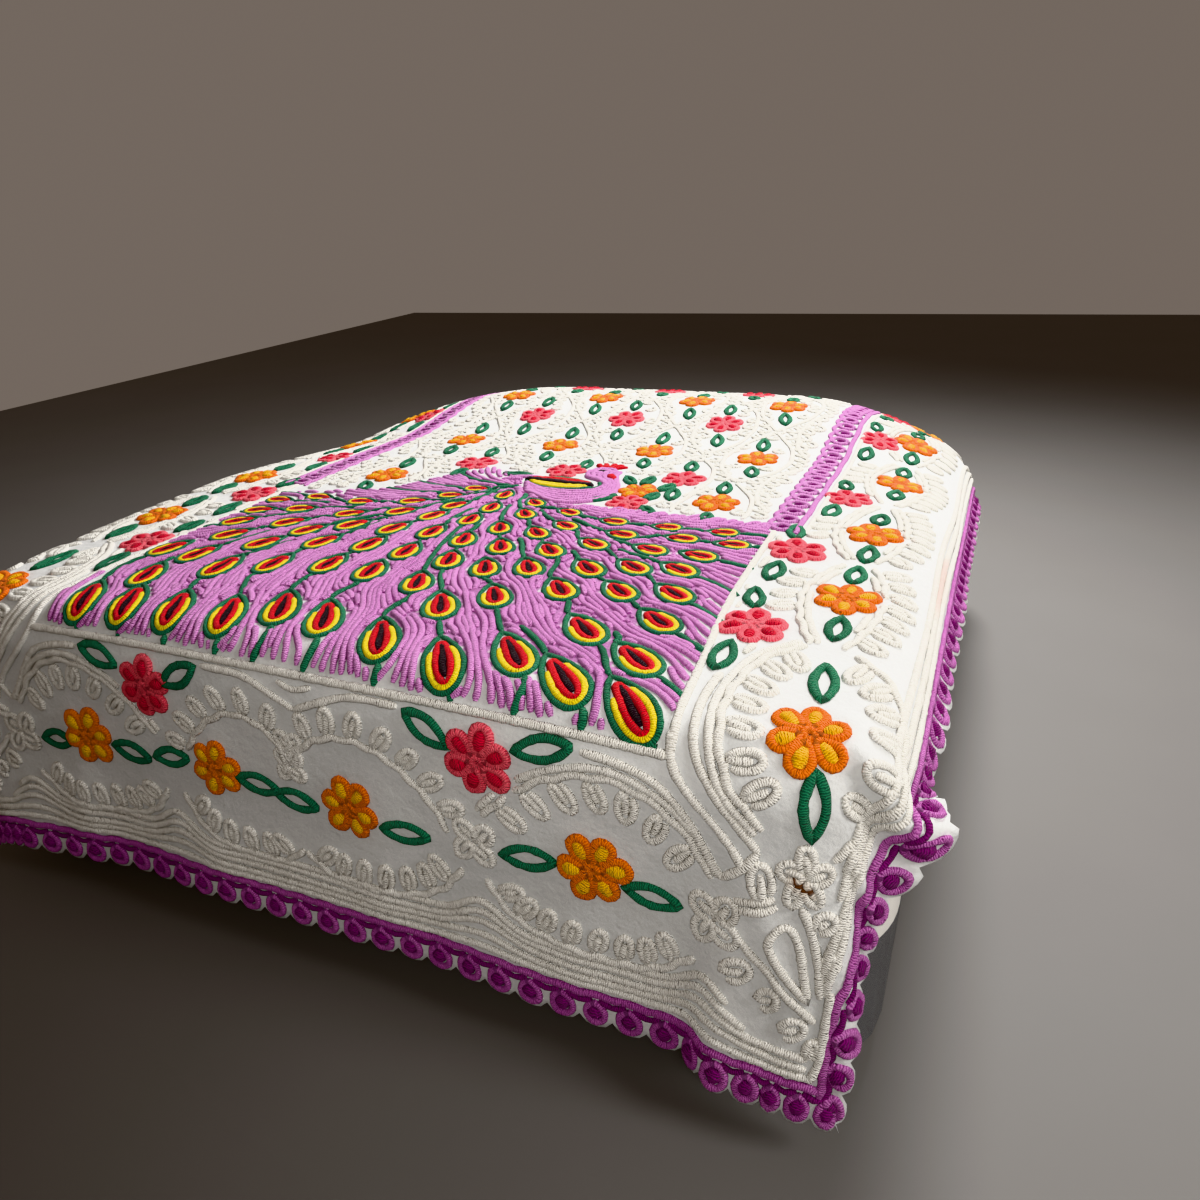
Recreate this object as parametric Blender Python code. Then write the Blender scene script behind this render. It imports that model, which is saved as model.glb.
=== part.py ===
"""Chenille bedspread draped over a king-size mattress on a plain divan base.

Metres, +Z up, floor at z = 0, +X to the right seen from the foot, +Y to the head.
The cloth is worked out from its own flat coordinates: s across the bed and t along
it, both 0 at the middle of the mattress.  drape(s, t) lays a flat point on the
mattress, round its shoulder and down its side, into the folds of the tables below.
"""
import math
from collections import namedtuple

import bmesh
import bpy
import numpy as np

# ---- driving sizes -----------------------------------------------------------
MATTRESS_WIDTH = 1.93
MATTRESS_LENGTH = 2.03
MATTRESS_CORNER = 0.18          # radius of the mattress corners in plan
SHOULDER = 0.09                 # radius of the soft top edge
BED_TOP = 0.66                  # middle of the mattress top
BED_SHIFT = 0.026               # moves the bed so that the whole object is centred

SIDE_HEM = 1.065                # flat distance from the middle to a side hem
FOOT_HEM = 1.53                 # ... to the foot hem
HEAD_HEM = 1.15                 # ... to the head hem
CLOTH = 0.003                   # sheeting with its rows of tufts
SCALLOP_PITCH = 0.06
SCALLOP_DEPTH = 0.016
EDGE_BAND = 0.034               # scalloped strip outside the last ring

SEAT_GAP = 0.0005               # cloth to the flat of the mattress
SHOULDER_GAP = 0.004            # cloth to the mattress round its edges
TOUCH_GAP = 0.0003              # between pieces that stand on each other

MATTRESS_LOWER_EDGE = 0.02      # slope between the mattress's sides and its underside
BASE_TOP = 0.27
BASE_BOTTOM = 0.06
BASE_INSET = 0.012              # base side inside the mattress side
BASE_CORNER = MATTRESS_CORNER - BASE_INSET
FOOT_RADIUS_TOP = 0.032
FOOT_RADIUS_FLOOR = 0.024
FOOT_INSET = 0.16               # middle of a foot inside the mattress side

# how far the top sinks below its middle: at a side, at an end, in a foot corner
SINK_SIDE, SINK_END, SINK_CORNER = 0.020, 0.018, 0.012
# the head part swells over soft bedding, and falls away to the head and its corners
SWELL, SWELL_FROM, SWELL_TOP = 0.057, 0.24, 0.71
HEAD_FALL, HEAD_FALL_FROM = 0.050, 0.45
CORNER_FALL, CORNER_FALL_X, CORNER_FALL_Y = 0.200, 0.41, -0.25

HALF_WIDTH = MATTRESS_WIDTH / 2
HALF_LENGTH = MATTRESS_LENGTH / 2
INNER_X = HALF_WIDTH - MATTRESS_CORNER      # corner centres in plan
INNER_Y = HALF_LENGTH - MATTRESS_CORNER
FLAT_REACH = MATTRESS_CORNER - SHOULDER     # level cloth outside the inner rectangle
ARC_LENGTH = SHOULDER * math.pi / 2
HALF_TURN = MATTRESS_CORNER * math.pi / 4   # outline from a corner's middle to its straight

# ---- folds -------------------------------------------------------------------
# One table for each corner.  "at" runs along the mattress outline from the middle
# of the corner, plus along the side and minus along the foot or head; "out" is how
# far the hem stands off the mattress there, "slide" how far it has moved along the
# outline towards the side, "lift" how far it is bunched up, and "ridge" how far a
# fold stands off the mattress's shoulder.
Fold = namedtuple("Fold", "at out slide lift ridge")
FOLDS = {
    "foot_right": [
        Fold(-0.92, 0.034, 0.000, 0.000, 0.000),
        Fold(-0.70, 0.028, 0.000, 0.000, 0.000),
        Fold(-0.50, 0.038, 0.000, 0.000, 0.000),
        Fold(-0.250, 0.030, -0.010, 0.000, 0.000),
        Fold(-0.146, 0.074, -0.040, 0.000, 0.000),
        Fold(-0.117, 0.070, -0.003, 0.000, 0.000),
        Fold(-0.070, 0.090, 0.030, 0.024, 0.000),
        Fold(-0.038, 0.016, 0.048, 0.000, 0.000),
        Fold(-0.002, 0.020, 0.036, 0.000, 0.000),
        Fold(0.050, 0.056, 0.052, 0.005, 0.013),
        Fold(0.078, 0.040, 0.046, 0.000, 0.003),
        Fold(0.124, 0.020, 0.028, 0.000, 0.000),
        Fold(0.200, 0.020, -0.004, 0.000, 0.000),
        Fold(0.310, 0.032, -0.020, 0.000, 0.000),
        Fold(0.480, 0.028, 0.000, 0.000, 0.000),
        Fold(0.700, 0.032, 0.000, 0.000, 0.000),
        Fold(0.970, 0.028, 0.000, 0.000, 0.000),
    ],
    "foot_left": [
        Fold(-0.92, 0.034, 0.000, 0.000, 0.000),
        Fold(-0.66, 0.040, 0.000, 0.000, 0.000),
        Fold(-0.44, 0.030, 0.000, 0.000, 0.000),
        Fold(-0.26, 0.048, 0.000, 0.000, 0.000),
        Fold(-0.150, 0.060, 0.008, 0.000, 0.000),
        Fold(-0.072, 0.088, 0.022, 0.018, 0.000),
        Fold(-0.036, 0.020, 0.044, 0.000, 0.000),
        Fold(0.028, 0.066, 0.072, 0.012, 0.014),
        Fold(0.092, 0.020, 0.060, 0.000, 0.000),
        Fold(0.200, 0.030, 0.022, 0.000, 0.000),
        Fold(0.420, 0.026, 0.000, 0.000, 0.000),
        Fold(0.720, 0.032, 0.000, 0.000, 0.000),
        Fold(0.970, 0.028, 0.000, 0.000, 0.000),
    ],
    "head_right": [
        Fold(-0.92, 0.024, 0.000, 0.000, 0.000),
        Fold(-0.45, 0.020, 0.000, 0.000, 0.000),
        Fold(-0.15, 0.026, 0.000, 0.000, 0.000),
        Fold(-0.010, 0.058, 0.010, 0.010, 0.008),
        Fold(0.150, 0.024, 0.000, 0.000, 0.000),
        Fold(0.420, 0.032, 0.000, 0.000, 0.000),
        Fold(0.970, 0.028, 0.000, 0.000, 0.000),
    ],
    "head_left": [
        Fold(-0.92, 0.024, 0.000, 0.000, 0.000),
        Fold(-0.50, 0.028, 0.000, 0.000, 0.000),
        Fold(-0.16, 0.022, 0.000, 0.000, 0.000),
        Fold(0.010, 0.052, -0.006, 0.010, 0.008),
        Fold(0.170, 0.026, 0.000, 0.000, 0.000),
        Fold(0.480, 0.030, 0.000, 0.000, 0.000),
        Fold(0.970, 0.028, 0.000, 0.000, 0.000),
    ],
}

RIDGE_START, RIDGE_FULL = 0.03, 0.16    # flat distances from the corner's centre

# ---- grid lines of the solids ------------------------------------------------
# closer where the right foot corner folds; shared by cloth and mattress
CELL = 0.125
LINES_NEAR_FOLD = (0.65, 0.69, 0.725, 0.755)     # across, on the right of the foot
CORNER_RAYS = {"foot_right": 14, "foot_left": 11, "head_right": 7, "head_left": 7}
ARC_STAGES = 4                  # rings round the shoulder
DROP_STAGES = 6                 # rings from the shoulder to the last one


def part_way(value, start, end):
    """0 before start, 1 after end, and the straight share between them."""
    return np.clip((value - start) / (end - start), 0, 1)


def crown(x, y):
    """Height of the domed mattress top with its soft bedding."""
    u = np.abs(x) / HALF_WIDTH
    v = np.abs(y) / HALF_LENGTH
    foot_corner = SINK_CORNER * (u * v)**3 * (np.asarray(y) < 0)
    rise = part_way(y, SWELL_FROM, SWELL_TOP)
    swell = SWELL * rise * rise * (3 - 2 * rise)
    head = HEAD_FALL * part_way(y, HEAD_FALL_FROM, HALF_LENGTH)**2
    fall = CORNER_FALL * part_way(np.abs(x), CORNER_FALL_X, HALF_WIDTH)**2
    fall = fall * part_way(y, CORNER_FALL_Y, HALF_LENGTH)**1.3
    return BED_TOP - SINK_SIDE * u**3 - SINK_END * v**4 - foot_corner + swell - head - fall


def eased(at, rows, column):
    """Read one column of a fold table, easing in and out of each row."""
    places = np.array([row.at for row in rows])
    values = np.array([getattr(row, column) for row in rows])
    at = np.clip(at, places[0], places[-1])
    low = np.clip(np.searchsorted(places, at, side="right") - 1, 0, len(rows) - 2)
    part = (at - places[low]) / (places[low + 1] - places[low])
    weight = part * part * (3 - 2 * part)
    return values[low] + (values[low + 1] - values[low]) * weight


def on_outline(at):
    """Corner or side centre and outward direction, for a corner in the +x +y quadrant."""
    turn = np.clip(math.pi / 4 - at / MATTRESS_CORNER, 0, math.pi / 2)
    x = INNER_X - np.maximum(-at - HALF_TURN, 0)
    y = INNER_Y - np.maximum(at - HALF_TURN, 0)
    return x, y, np.cos(turn), np.sin(turn)


def drape(s, t):
    """Underside of the cloth at flat point (s, t), as an array of x, y, z."""
    s, t = np.broadcast_arrays(np.asarray(s, float), np.asarray(t, float))
    sx = np.where(s < 0, -1.0, 1.0)
    sy = np.where(t < 0, -1.0, 1.0)
    a, b = np.abs(s), np.abs(t)
    cx, cy = np.minimum(a, INNER_X), np.minimum(b, INNER_Y)
    ex, ey = a - cx, b - cy
    reach = np.hypot(ex, ey)
    safe = np.maximum(reach, 1e-9)
    nx = np.where(reach > 1e-9, ex / safe, 1.0)
    ny = np.where(reach > 1e-9, ey / safe, 0.0)

    # where the ruling crosses the mattress outline, from the corner's middle
    turn = np.arctan2(ny, nx)
    at = MATTRESS_CORNER * (math.pi / 4 - turn)
    at = np.where(ey < 1e-9, HALF_TURN + (INNER_Y - cy), at)
    at = np.where((ex < 1e-9) & (ey >= 1e-9), -HALF_TURN - (INNER_X - cx), at)

    # level top, round shoulder, then the drop
    angle = np.clip((reach - FLAT_REACH) / SHOULDER, 0, math.pi / 2)
    level = np.minimum(reach, FLAT_REACH) + SHOULDER * np.sin(angle)
    sunk = SHOULDER * (1 - np.cos(angle))
    drop = np.maximum(reach - FLAT_REACH - ARC_LENGTH, 0)

    # the ruling's whole drop, down to the hem
    end = np.where(t < 0, FOOT_HEM, HEAD_HEM)
    to_side = (SIDE_HEM - cx) / np.maximum(nx, 1e-6)
    to_end = (end - cy) / np.maximum(ny, 1e-6)
    whole = np.minimum(to_side, to_end) - FLAT_REACH - ARC_LENGTH
    share = drop / np.maximum(whole, 1e-6)

    out, slide, lift, ridge = (np.zeros_like(a) for _ in range(4))
    for name, rows in FOLDS.items():
        here = (sy < 0) == name.startswith("foot")
        here &= (sx > 0) == name.endswith("right")
        out = np.where(here, eased(at, rows, "out"), out)
        slide = np.where(here, eased(at, rows, "slide"), slide)
        lift = np.where(here, eased(at, rows, "lift"), lift)
        ridge = np.where(here, eased(at, rows, "ridge"), ridge)
    out = out * share**1.25
    slide = slide * share
    rise = np.clip((reach - RIDGE_START) / (RIDGE_FULL - RIDGE_START), 0, 1)
    ridge = ridge * rise * rise * (3 - 2 * rise)
    px, py, qx, qy = on_outline(at + slide)
    beyond = drop > 0
    px, py = np.where(beyond, px, cx), np.where(beyond, py, cy)
    qx, qy = np.where(beyond, qx, nx), np.where(beyond, qy, ny)
    fall = np.sqrt(np.maximum(drop**2 - out**2 - slide**2, (0.3 * drop)**2))

    rim_x, rim_y = cx + nx * level, cy + ny * level
    height = crown(rim_x * sx, rim_y * sy) - sunk - fall + lift * share
    height = height + ridge * np.cos(angle)
    off = level + out + ridge * np.sin(angle)
    return np.stack([sx * (px + qx * off), sy * (py + qy * off) + BED_SHIFT, height], axis=-1)


def mattress_surface(s, t):
    """Top and shoulder of the mattress under flat point (s, t), just clear of the cloth."""
    cx = np.clip(s, -INNER_X, INNER_X)
    cy = np.clip(t, -INNER_Y, INNER_Y)
    ex, ey = s - cx, t - cy
    reach = math.hypot(ex, ey)
    nx, ny = (ex / reach, ey / reach) if reach > 1e-9 else (0.0, 0.0)
    angle = min(max((reach - FLAT_REACH) / SHOULDER, 0), math.pi / 2)
    radius = SHOULDER - SHOULDER_GAP * math.sin(angle)
    level = min(reach, FLAT_REACH) + radius * math.sin(angle)
    rim = min(reach, FLAT_REACH) + SHOULDER * math.sin(angle)
    height = crown(cx + nx * rim, cy + ny * rim) - SHOULDER + radius * math.cos(angle)
    return (cx + nx * level, cy + ny * level + BED_SHIFT, float(height) - SEAT_GAP)


# ---- rulings and the mesh they carry -----------------------------------------
Ruling = namedtuple("Ruling", "cx cy nx ny side")


def grid_lines(half, extra=()):
    """Even lines from -half to half about one CELL apart, plus the extra ones."""
    count = max(2, round(2 * half / CELL))
    lines = [-half + 2 * half * i / count for i in range(count + 1)]
    if extra:
        lines = [v for v in lines if v < extra[0] - CELL / 3 or v == lines[-1]] + list(extra)
    return sorted(lines)


def corner_rulings(cx, cy, name, start_turn):
    """Fan of rulings round one corner, anticlockwise, without its two straight ends."""
    count = CORNER_RAYS[name]
    fan = []
    for i in range(1, count):
        turn = start_turn + math.pi / 2 * i / count
        fan.append(Ruling(cx, cy, math.cos(turn), math.sin(turn), "corner"))
    return fan


def rulings_round(across, along):
    """All rulings anticlockwise from the foot's left end, one for each outer grid line."""
    left, right = -INNER_X, INNER_X
    foot, head = -INNER_Y, INNER_Y
    rulings = [Ruling(x, foot, 0, -1, "foot") for x in across]
    rulings += corner_rulings(right, foot, "foot_right", -math.pi / 2)
    rulings += [Ruling(right, y, 1, 0, "side") for y in along]
    rulings += corner_rulings(right, head, "head_right", 0)
    rulings += [Ruling(x, head, 0, 1, "head") for x in reversed(across)]
    rulings += corner_rulings(left, head, "head_left", math.pi / 2)
    rulings += [Ruling(left, y, -1, 0, "side") for y in reversed(along)]
    rulings += corner_rulings(left, foot, "foot_left", math.pi)
    return rulings


def hem_reach(ruling, margin):
    """Flat distance from the ruling's centre to the hem, less a margin."""
    end = FOOT_HEM if ruling.ny < 0 else HEAD_HEM
    reaches = []
    if abs(ruling.nx) > 1e-6:
        reaches.append((SIDE_HEM - margin - abs(ruling.cx)) / abs(ruling.nx))
    if abs(ruling.ny) > 1e-6:
        reaches.append((end - margin - abs(ruling.cy)) / abs(ruling.ny))
    return min(reaches)


def stage_reaches(ruling):
    """Flat distances of the rings along one ruling, from the level top to the last ring."""
    shoulder = [FLAT_REACH + ARC_LENGTH * i / ARC_STAGES for i in range(ARC_STAGES + 1)]
    last = hem_reach(ruling, EDGE_BAND)
    start = shoulder[-1]
    drop = [start + (last - start) * i / DROP_STAGES for i in range(1, DROP_STAGES + 1)]
    return shoulder + drop


def inner_faces(bm, across, along, place):
    """Faces of the inner rectangle; returns its vertices by grid index."""
    grid = [[bm.verts.new(place(x, y)) for y in along] for x in across]
    for i in range(len(across) - 1):
        for j in range(len(along) - 1):
            a, b = grid[i][j], grid[i + 1][j]
            c, d = grid[i + 1][j + 1], grid[i][j + 1]
            bm.faces.new((a, b, c))
            bm.faces.new((a, c, d))
    return grid


def ring_starts(grid, across, along, rulings):
    """The inner vertex that each ruling starts from."""
    near = {round(x, 6): i for i, x in enumerate(across)}
    deep = {round(y, 6): j for j, y in enumerate(along)}
    return [grid[near[round(r.cx, 6)]][deep[round(r.cy, 6)]] for r in rulings]


def join_rings(bm, inner, outer):
    """Triangles between two closed rings of the same count, skipping collapsed ones."""
    count = len(inner)
    for i in range(count):
        k = (i + 1) % count
        a, b, c, d = inner[i], inner[k], outer[k], outer[i]
        if a is b:
            bm.faces.new((a, d, c))
        else:
            bm.faces.new((a, d, c))
            bm.faces.new((a, c, b))


def hem_outline():
    """Flat points of the scalloped edge, anticlockwise from the foot's left corner."""
    corners = [(-SIDE_HEM, -FOOT_HEM), (SIDE_HEM, -FOOT_HEM),
               (SIDE_HEM, HEAD_HEM), (-SIDE_HEM, HEAD_HEM)]
    points = []
    for i in range(4):
        x0, y0 = corners[i]
        x1, y1 = corners[(i + 1) % 4]
        length = math.hypot(x1 - x0, y1 - y0)
        dx, dy = (x1 - x0) / length, (y1 - y0) / length
        count = round((length - 2 * SCALLOP_DEPTH) / SCALLOP_PITCH)
        pitch = (length - 2 * SCALLOP_DEPTH) / count
        for k in range(count):
            for share, depth in ((0.0, 1.0), (0.25, 0.12), (0.75, 0.12)):
                along = SCALLOP_DEPTH + pitch * (k + share)
                inward = SCALLOP_DEPTH * depth
                points.append((x0 + dx * along - dy * inward, y0 + dy * along + dx * inward))
    return points


def flat_turn(s, t):
    """A number that grows anticlockwise round the cloth from its left foot corner."""
    end = FOOT_HEM if t < 0 else HEAD_HEM
    return (math.atan2(t / end, s / SIDE_HEM) + 0.75 * math.pi + 1e-9) % (2 * math.pi)


def in_turn(loop, flat):
    """The loop's vertices in order of flat_turn, with their turns and the first one again."""
    turns = [flat_turn(s, t) for s, t in flat]
    order = sorted(range(len(loop)), key=turns.__getitem__)
    again = turns[order[0]] + 2 * math.pi
    return [loop[i] for i in order + order[:1]], [turns[i] for i in order] + [again]


def zip_edge(bm, ring, ring_flat, edge, edge_flat):
    """Triangles between the last ring and the scalloped edge, both closed loops."""
    inner, inner_turn = in_turn(ring, ring_flat)
    outer, outer_turn = in_turn(edge, edge_flat)
    i = j = 0
    while i < len(ring) or j < len(edge):
        ring_first = i < len(ring) and (j == len(edge) or inner_turn[i + 1] < outer_turn[j + 1])
        if ring_first:
            bm.faces.new((inner[i], outer[j], inner[i + 1]))
            i += 1
        else:
            bm.faces.new((inner[i], outer[j], outer[j + 1]))
            j += 1


# ---- pieces --------------------------------------------------------------------
def material(name, colour, roughness):
    """A plain Principled material."""
    mat = bpy.data.materials.new(name)
    mat.use_nodes = True
    shader = mat.node_tree.nodes["Principled BSDF"]
    shader.inputs["Base Color"].default_value = (*colour, 1)
    shader.inputs["Roughness"].default_value = roughness
    shader.inputs["Metallic"].default_value = 0
    return mat


def add_object(name, bm, mat, parent):
    """Turn a bmesh into a named object with its material."""
    mesh = bpy.data.meshes.new(name)
    bm.to_mesh(mesh)
    bm.free()
    mesh.materials.append(mat)
    obj = bpy.data.objects.new(name, mesh)
    bpy.context.scene.collection.objects.link(obj)
    obj.parent = parent
    return obj


def make_bedspread(parent, across, along, rulings):
    """The cloth: one sheet laid over the bed, thickened outwards."""
    bm = bmesh.new()
    grid = inner_faces(bm, across, along, lambda x, y: drape(x, y).tolist())
    ring = ring_starts(grid, across, along, rulings)
    reaches = [stage_reaches(r) for r in rulings]
    for stage in range(len(reaches[0])):
        outer = []
        for ruling, reach in zip(rulings, reaches):
            s = ruling.cx + ruling.nx * reach[stage]
            t = ruling.cy + ruling.ny * reach[stage]
            outer.append(bm.verts.new(drape(s, t).tolist()))
        join_rings(bm, ring, outer)
        ring = outer
    ring_flat = [(r.cx + r.nx * reach[-1], r.cy + r.ny * reach[-1])
                 for r, reach in zip(rulings, reaches)]
    edge_flat = hem_outline()
    edge = [bm.verts.new(drape(s, t).tolist()) for s, t in edge_flat]
    zip_edge(bm, ring, ring_flat, edge, edge_flat)
    bmesh.ops.recalc_face_normals(bm, faces=bm.faces)
    if sum(f.normal.z for f in bm.faces) < 0:
        bmesh.ops.reverse_faces(bm, faces=bm.faces)
    obj = add_object("bedspread", bm, material("white_cotton", (0.86, 0.86, 0.84), 0.9), parent)
    thick = obj.modifiers.new("cloth", "SOLIDIFY")
    thick.thickness = CLOTH
    thick.offset = 1
    thick.use_even_offset = False
    return obj


def make_mattress(parent, across, along, rulings):
    """Crowned top, round shoulder, upright sides and a flat underside."""
    bm = bmesh.new()
    grid = inner_faces(bm, across, along, mattress_surface)
    ring = ring_starts(grid, across, along, rulings)
    for stage in range(ARC_STAGES + 1):
        reach = FLAT_REACH + ARC_LENGTH * stage / ARC_STAGES
        outer = [bm.verts.new(mattress_surface(r.cx + r.nx * reach, r.cy + r.ny * reach))
                 for r in rulings]
        join_rings(bm, ring, outer)
        ring = outer
    side = MATTRESS_CORNER - SHOULDER_GAP
    bottom = BASE_TOP + TOUCH_GAP
    for reach, z in ((side, bottom + MATTRESS_LOWER_EDGE), (side - MATTRESS_LOWER_EDGE, bottom)):
        outer = [bm.verts.new((r.cx + r.nx * reach, r.cy + r.ny * reach + BED_SHIFT, z))
                 for r in rulings]
        join_rings(bm, ring, outer)
        ring = outer
    bm.faces.new(list(reversed(ring)))
    bmesh.ops.recalc_face_normals(bm, faces=bm.faces)
    add_object("mattress", bm, material("mattress_ticking", (0.72, 0.72, 0.70), 0.85), parent)


def rounded_rectangle(half_x, half_y, radius, steps):
    """Plan points of a rectangle with round corners, anticlockwise."""
    points = []
    for k, (sx, sy) in enumerate(((1, -1), (1, 1), (-1, 1), (-1, -1))):
        for i in range(steps + 1):
            turn = -math.pi / 2 + math.pi / 2 * (k + i / steps)
            points.append((sx * (half_x - radius) + radius * math.cos(turn),
                           sy * (half_y - radius) + radius * math.sin(turn)))
    return points


def make_base(parent):
    """The plain upholstered divan base, a rounded box."""
    bm = bmesh.new()
    plan = rounded_rectangle(HALF_WIDTH - BASE_INSET, HALF_LENGTH - BASE_INSET, BASE_CORNER, 5)
    lower = bm.faces.new([bm.verts.new((x, y + BED_SHIFT, BASE_BOTTOM)) for x, y in plan])
    raised = bmesh.ops.extrude_face_region(bm, geom=[lower])["geom"]
    top = [item for item in raised if isinstance(item, bmesh.types.BMVert)]
    bmesh.ops.translate(bm, verts=top, vec=(0, 0, BASE_TOP - BASE_BOTTOM))
    bmesh.ops.recalc_face_normals(bm, faces=bm.faces)
    add_object("bed_base", bm, material("charcoal_fabric", (0.03, 0.03, 0.033), 0.95), parent)


def make_feet(parent):
    """Six short turned feet with a flat face on the floor."""
    mat = material("black_plastic", (0.02, 0.02, 0.02), 0.5)
    height = BASE_BOTTOM - TOUCH_GAP
    spots = [(x, y) for y in (-HALF_LENGTH + FOOT_INSET, 0, HALF_LENGTH - FOOT_INSET)
             for x in (-HALF_WIDTH + FOOT_INSET, HALF_WIDTH - FOOT_INSET)]
    for number, (x, y) in enumerate(spots, 1):
        bm = bmesh.new()
        bmesh.ops.create_cone(bm, cap_ends=True, segments=24, radius1=FOOT_RADIUS_FLOOR,
                              radius2=FOOT_RADIUS_TOP, depth=height)
        foot = add_object(f"foot_{number}", bm, mat, parent)
        foot.location = (x, y + BED_SHIFT, height / 2)


def main():
    for obj in list(bpy.data.objects):
        bpy.data.objects.remove(obj, do_unlink=True)
    origin = bpy.data.objects.new("bed_origin", None)
    bpy.context.scene.collection.objects.link(origin)
    across = grid_lines(INNER_X, LINES_NEAR_FOLD)
    along = grid_lines(INNER_Y)
    rulings = rulings_round(across, along)
    make_bedspread(origin, across, along, rulings)
    make_mattress(origin, across, along, rulings)
    make_base(origin)
    make_feet(origin)


main()
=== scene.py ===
# %% [markdown]
# # A tufted cotton bedspread over a plain bed
#
# The real thing is one wide sheet of cotton sheeting.  A maker punches loops of soft
# yarn through it along drawn lines and cuts them, which leaves raised fuzzy ropes:
# white ones for the ground, coloured ones for the flowers, the bird and its fan.
#
# The lesson follows the same order: the cloth first, then the lines that the yarn
# follows, then the yarn itself, and the plain bed last.

# %% Libraries and the fixed frame
import math
from collections import namedtuple

import bpy
import numpy as np
from mathutils import Matrix


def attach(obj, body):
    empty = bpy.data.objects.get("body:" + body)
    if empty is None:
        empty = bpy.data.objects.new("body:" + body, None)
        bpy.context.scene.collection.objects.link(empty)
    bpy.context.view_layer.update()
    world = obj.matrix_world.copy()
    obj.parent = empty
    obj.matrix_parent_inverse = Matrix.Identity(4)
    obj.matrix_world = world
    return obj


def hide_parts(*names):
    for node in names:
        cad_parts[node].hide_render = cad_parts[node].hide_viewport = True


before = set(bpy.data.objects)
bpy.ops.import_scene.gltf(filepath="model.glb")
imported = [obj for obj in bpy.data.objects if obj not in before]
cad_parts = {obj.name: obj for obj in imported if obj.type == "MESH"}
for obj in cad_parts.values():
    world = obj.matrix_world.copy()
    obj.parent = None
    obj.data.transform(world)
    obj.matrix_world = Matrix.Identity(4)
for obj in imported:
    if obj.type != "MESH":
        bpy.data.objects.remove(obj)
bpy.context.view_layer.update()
print("solids:", ", ".join(sorted(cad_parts)))

# %% [markdown]
# ## The cloth as a function
#
# A draped cloth could be simulated, but its folds would land elsewhere each time a
# size changes.  Here the cloth is a function instead: s runs across the flat sheet
# and t along it, and drape(s, t) says where that spot of cloth lies on the bed.
# Anything that is drawn flat, such as a flower, can then be laid on the bed too.

# %% Sizes of the bed and the sheet, in metres
MATTRESS_WIDTH, MATTRESS_LENGTH, MATTRESS_CORNER = 1.93, 2.03, 0.18
SHOULDER, BED_TOP, BED_SHIFT = 0.09, 0.66, 0.026
SIDE_HEM, FOOT_HEM, HEAD_HEM = 1.065, 1.53, 1.15
SCALLOP_PITCH, SCALLOP_DEPTH, EDGE_BAND = 0.06, 0.016, 0.034
SINK_SIDE, SINK_END, SINK_CORNER = 0.02, 0.018, 0.012
SWELL, SWELL_FROM, SWELL_TOP = 0.057, 0.24, 0.71
HEAD_FALL, HEAD_FALL_FROM = 0.05, 0.45
CORNER_FALL, CORNER_FALL_X, CORNER_FALL_Y = 0.2, 0.41, -0.25
HALF_WIDTH, HALF_LENGTH = MATTRESS_WIDTH / 2, MATTRESS_LENGTH / 2
INNER_X, INNER_Y = HALF_WIDTH - MATTRESS_CORNER, HALF_LENGTH - MATTRESS_CORNER
FLAT_REACH = MATTRESS_CORNER - SHOULDER
ARC_LENGTH = SHOULDER * math.pi / 2
HALF_TURN = MATTRESS_CORNER * math.pi / 4
RIDGE_START, RIDGE_FULL = 0.03, 0.16
print("flat sheet:", round(2 * SIDE_HEM, 3), "x", round(FOOT_HEM + HEAD_HEM, 3), "m")

# %% [markdown]
# The folds are short tables, one for each corner of the bed.  A row says where a
# fold is along the mattress outline, how far its hem stands out, how far it has
# slid sideways, how much it is bunched up, and how far it rides over the shoulder.

# %% Fold tables
Fold = namedtuple("Fold", "at out slide lift ridge", defaults=(0.0, 0.0, 0.0))
FOLDS = {
    "foot_right": [
        Fold(-0.92, 0.034), Fold(-0.7, 0.028), Fold(-0.5, 0.038), Fold(-0.25, 0.03, -0.01),
        Fold(-0.146, 0.074, -0.04), Fold(-0.117, 0.07, -0.003), Fold(-0.07, 0.09, 0.03, 0.024),
        Fold(-0.038, 0.016, 0.048), Fold(-0.002, 0.02, 0.036), Fold(0.05, 0.056, 0.052, 0.005, 0.013),
        Fold(0.078, 0.04, 0.046, 0.0, 0.003), Fold(0.124, 0.02, 0.028), Fold(0.2, 0.02, -0.004),
        Fold(0.31, 0.032, -0.02), Fold(0.48, 0.028), Fold(0.7, 0.032), Fold(0.97, 0.028),
    ],
    "foot_left": [
        Fold(-0.92, 0.034), Fold(-0.66, 0.04), Fold(-0.44, 0.03), Fold(-0.26, 0.048),
        Fold(-0.15, 0.06, 0.008), Fold(-0.072, 0.088, 0.022, 0.018), Fold(-0.036, 0.02, 0.044),
        Fold(0.028, 0.066, 0.072, 0.012, 0.014), Fold(0.092, 0.02, 0.06), Fold(0.2, 0.03, 0.022),
        Fold(0.42, 0.026), Fold(0.72, 0.032), Fold(0.97, 0.028),
    ],
    "head_right": [
        Fold(-0.92, 0.024), Fold(-0.45, 0.02), Fold(-0.15, 0.026), Fold(-0.01, 0.058, 0.01, 0.01, 0.008),
        Fold(0.15, 0.024), Fold(0.42, 0.032), Fold(0.97, 0.028),
    ],
    "head_left": [
        Fold(-0.92, 0.024), Fold(-0.5, 0.028), Fold(-0.16, 0.022), Fold(0.01, 0.052, -0.006, 0.01, 0.008),
        Fold(0.17, 0.026), Fold(0.48, 0.03), Fold(0.97, 0.028),
    ],
}
print("folds:", sum(len(rows) for rows in FOLDS.values()))


# %% Small curves that the drape is built from
def part_way(value, start, end):
    """0 before start, 1 after end, and the straight share between them."""
    return np.clip((value - start) / (end - start), 0, 1)


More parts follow.
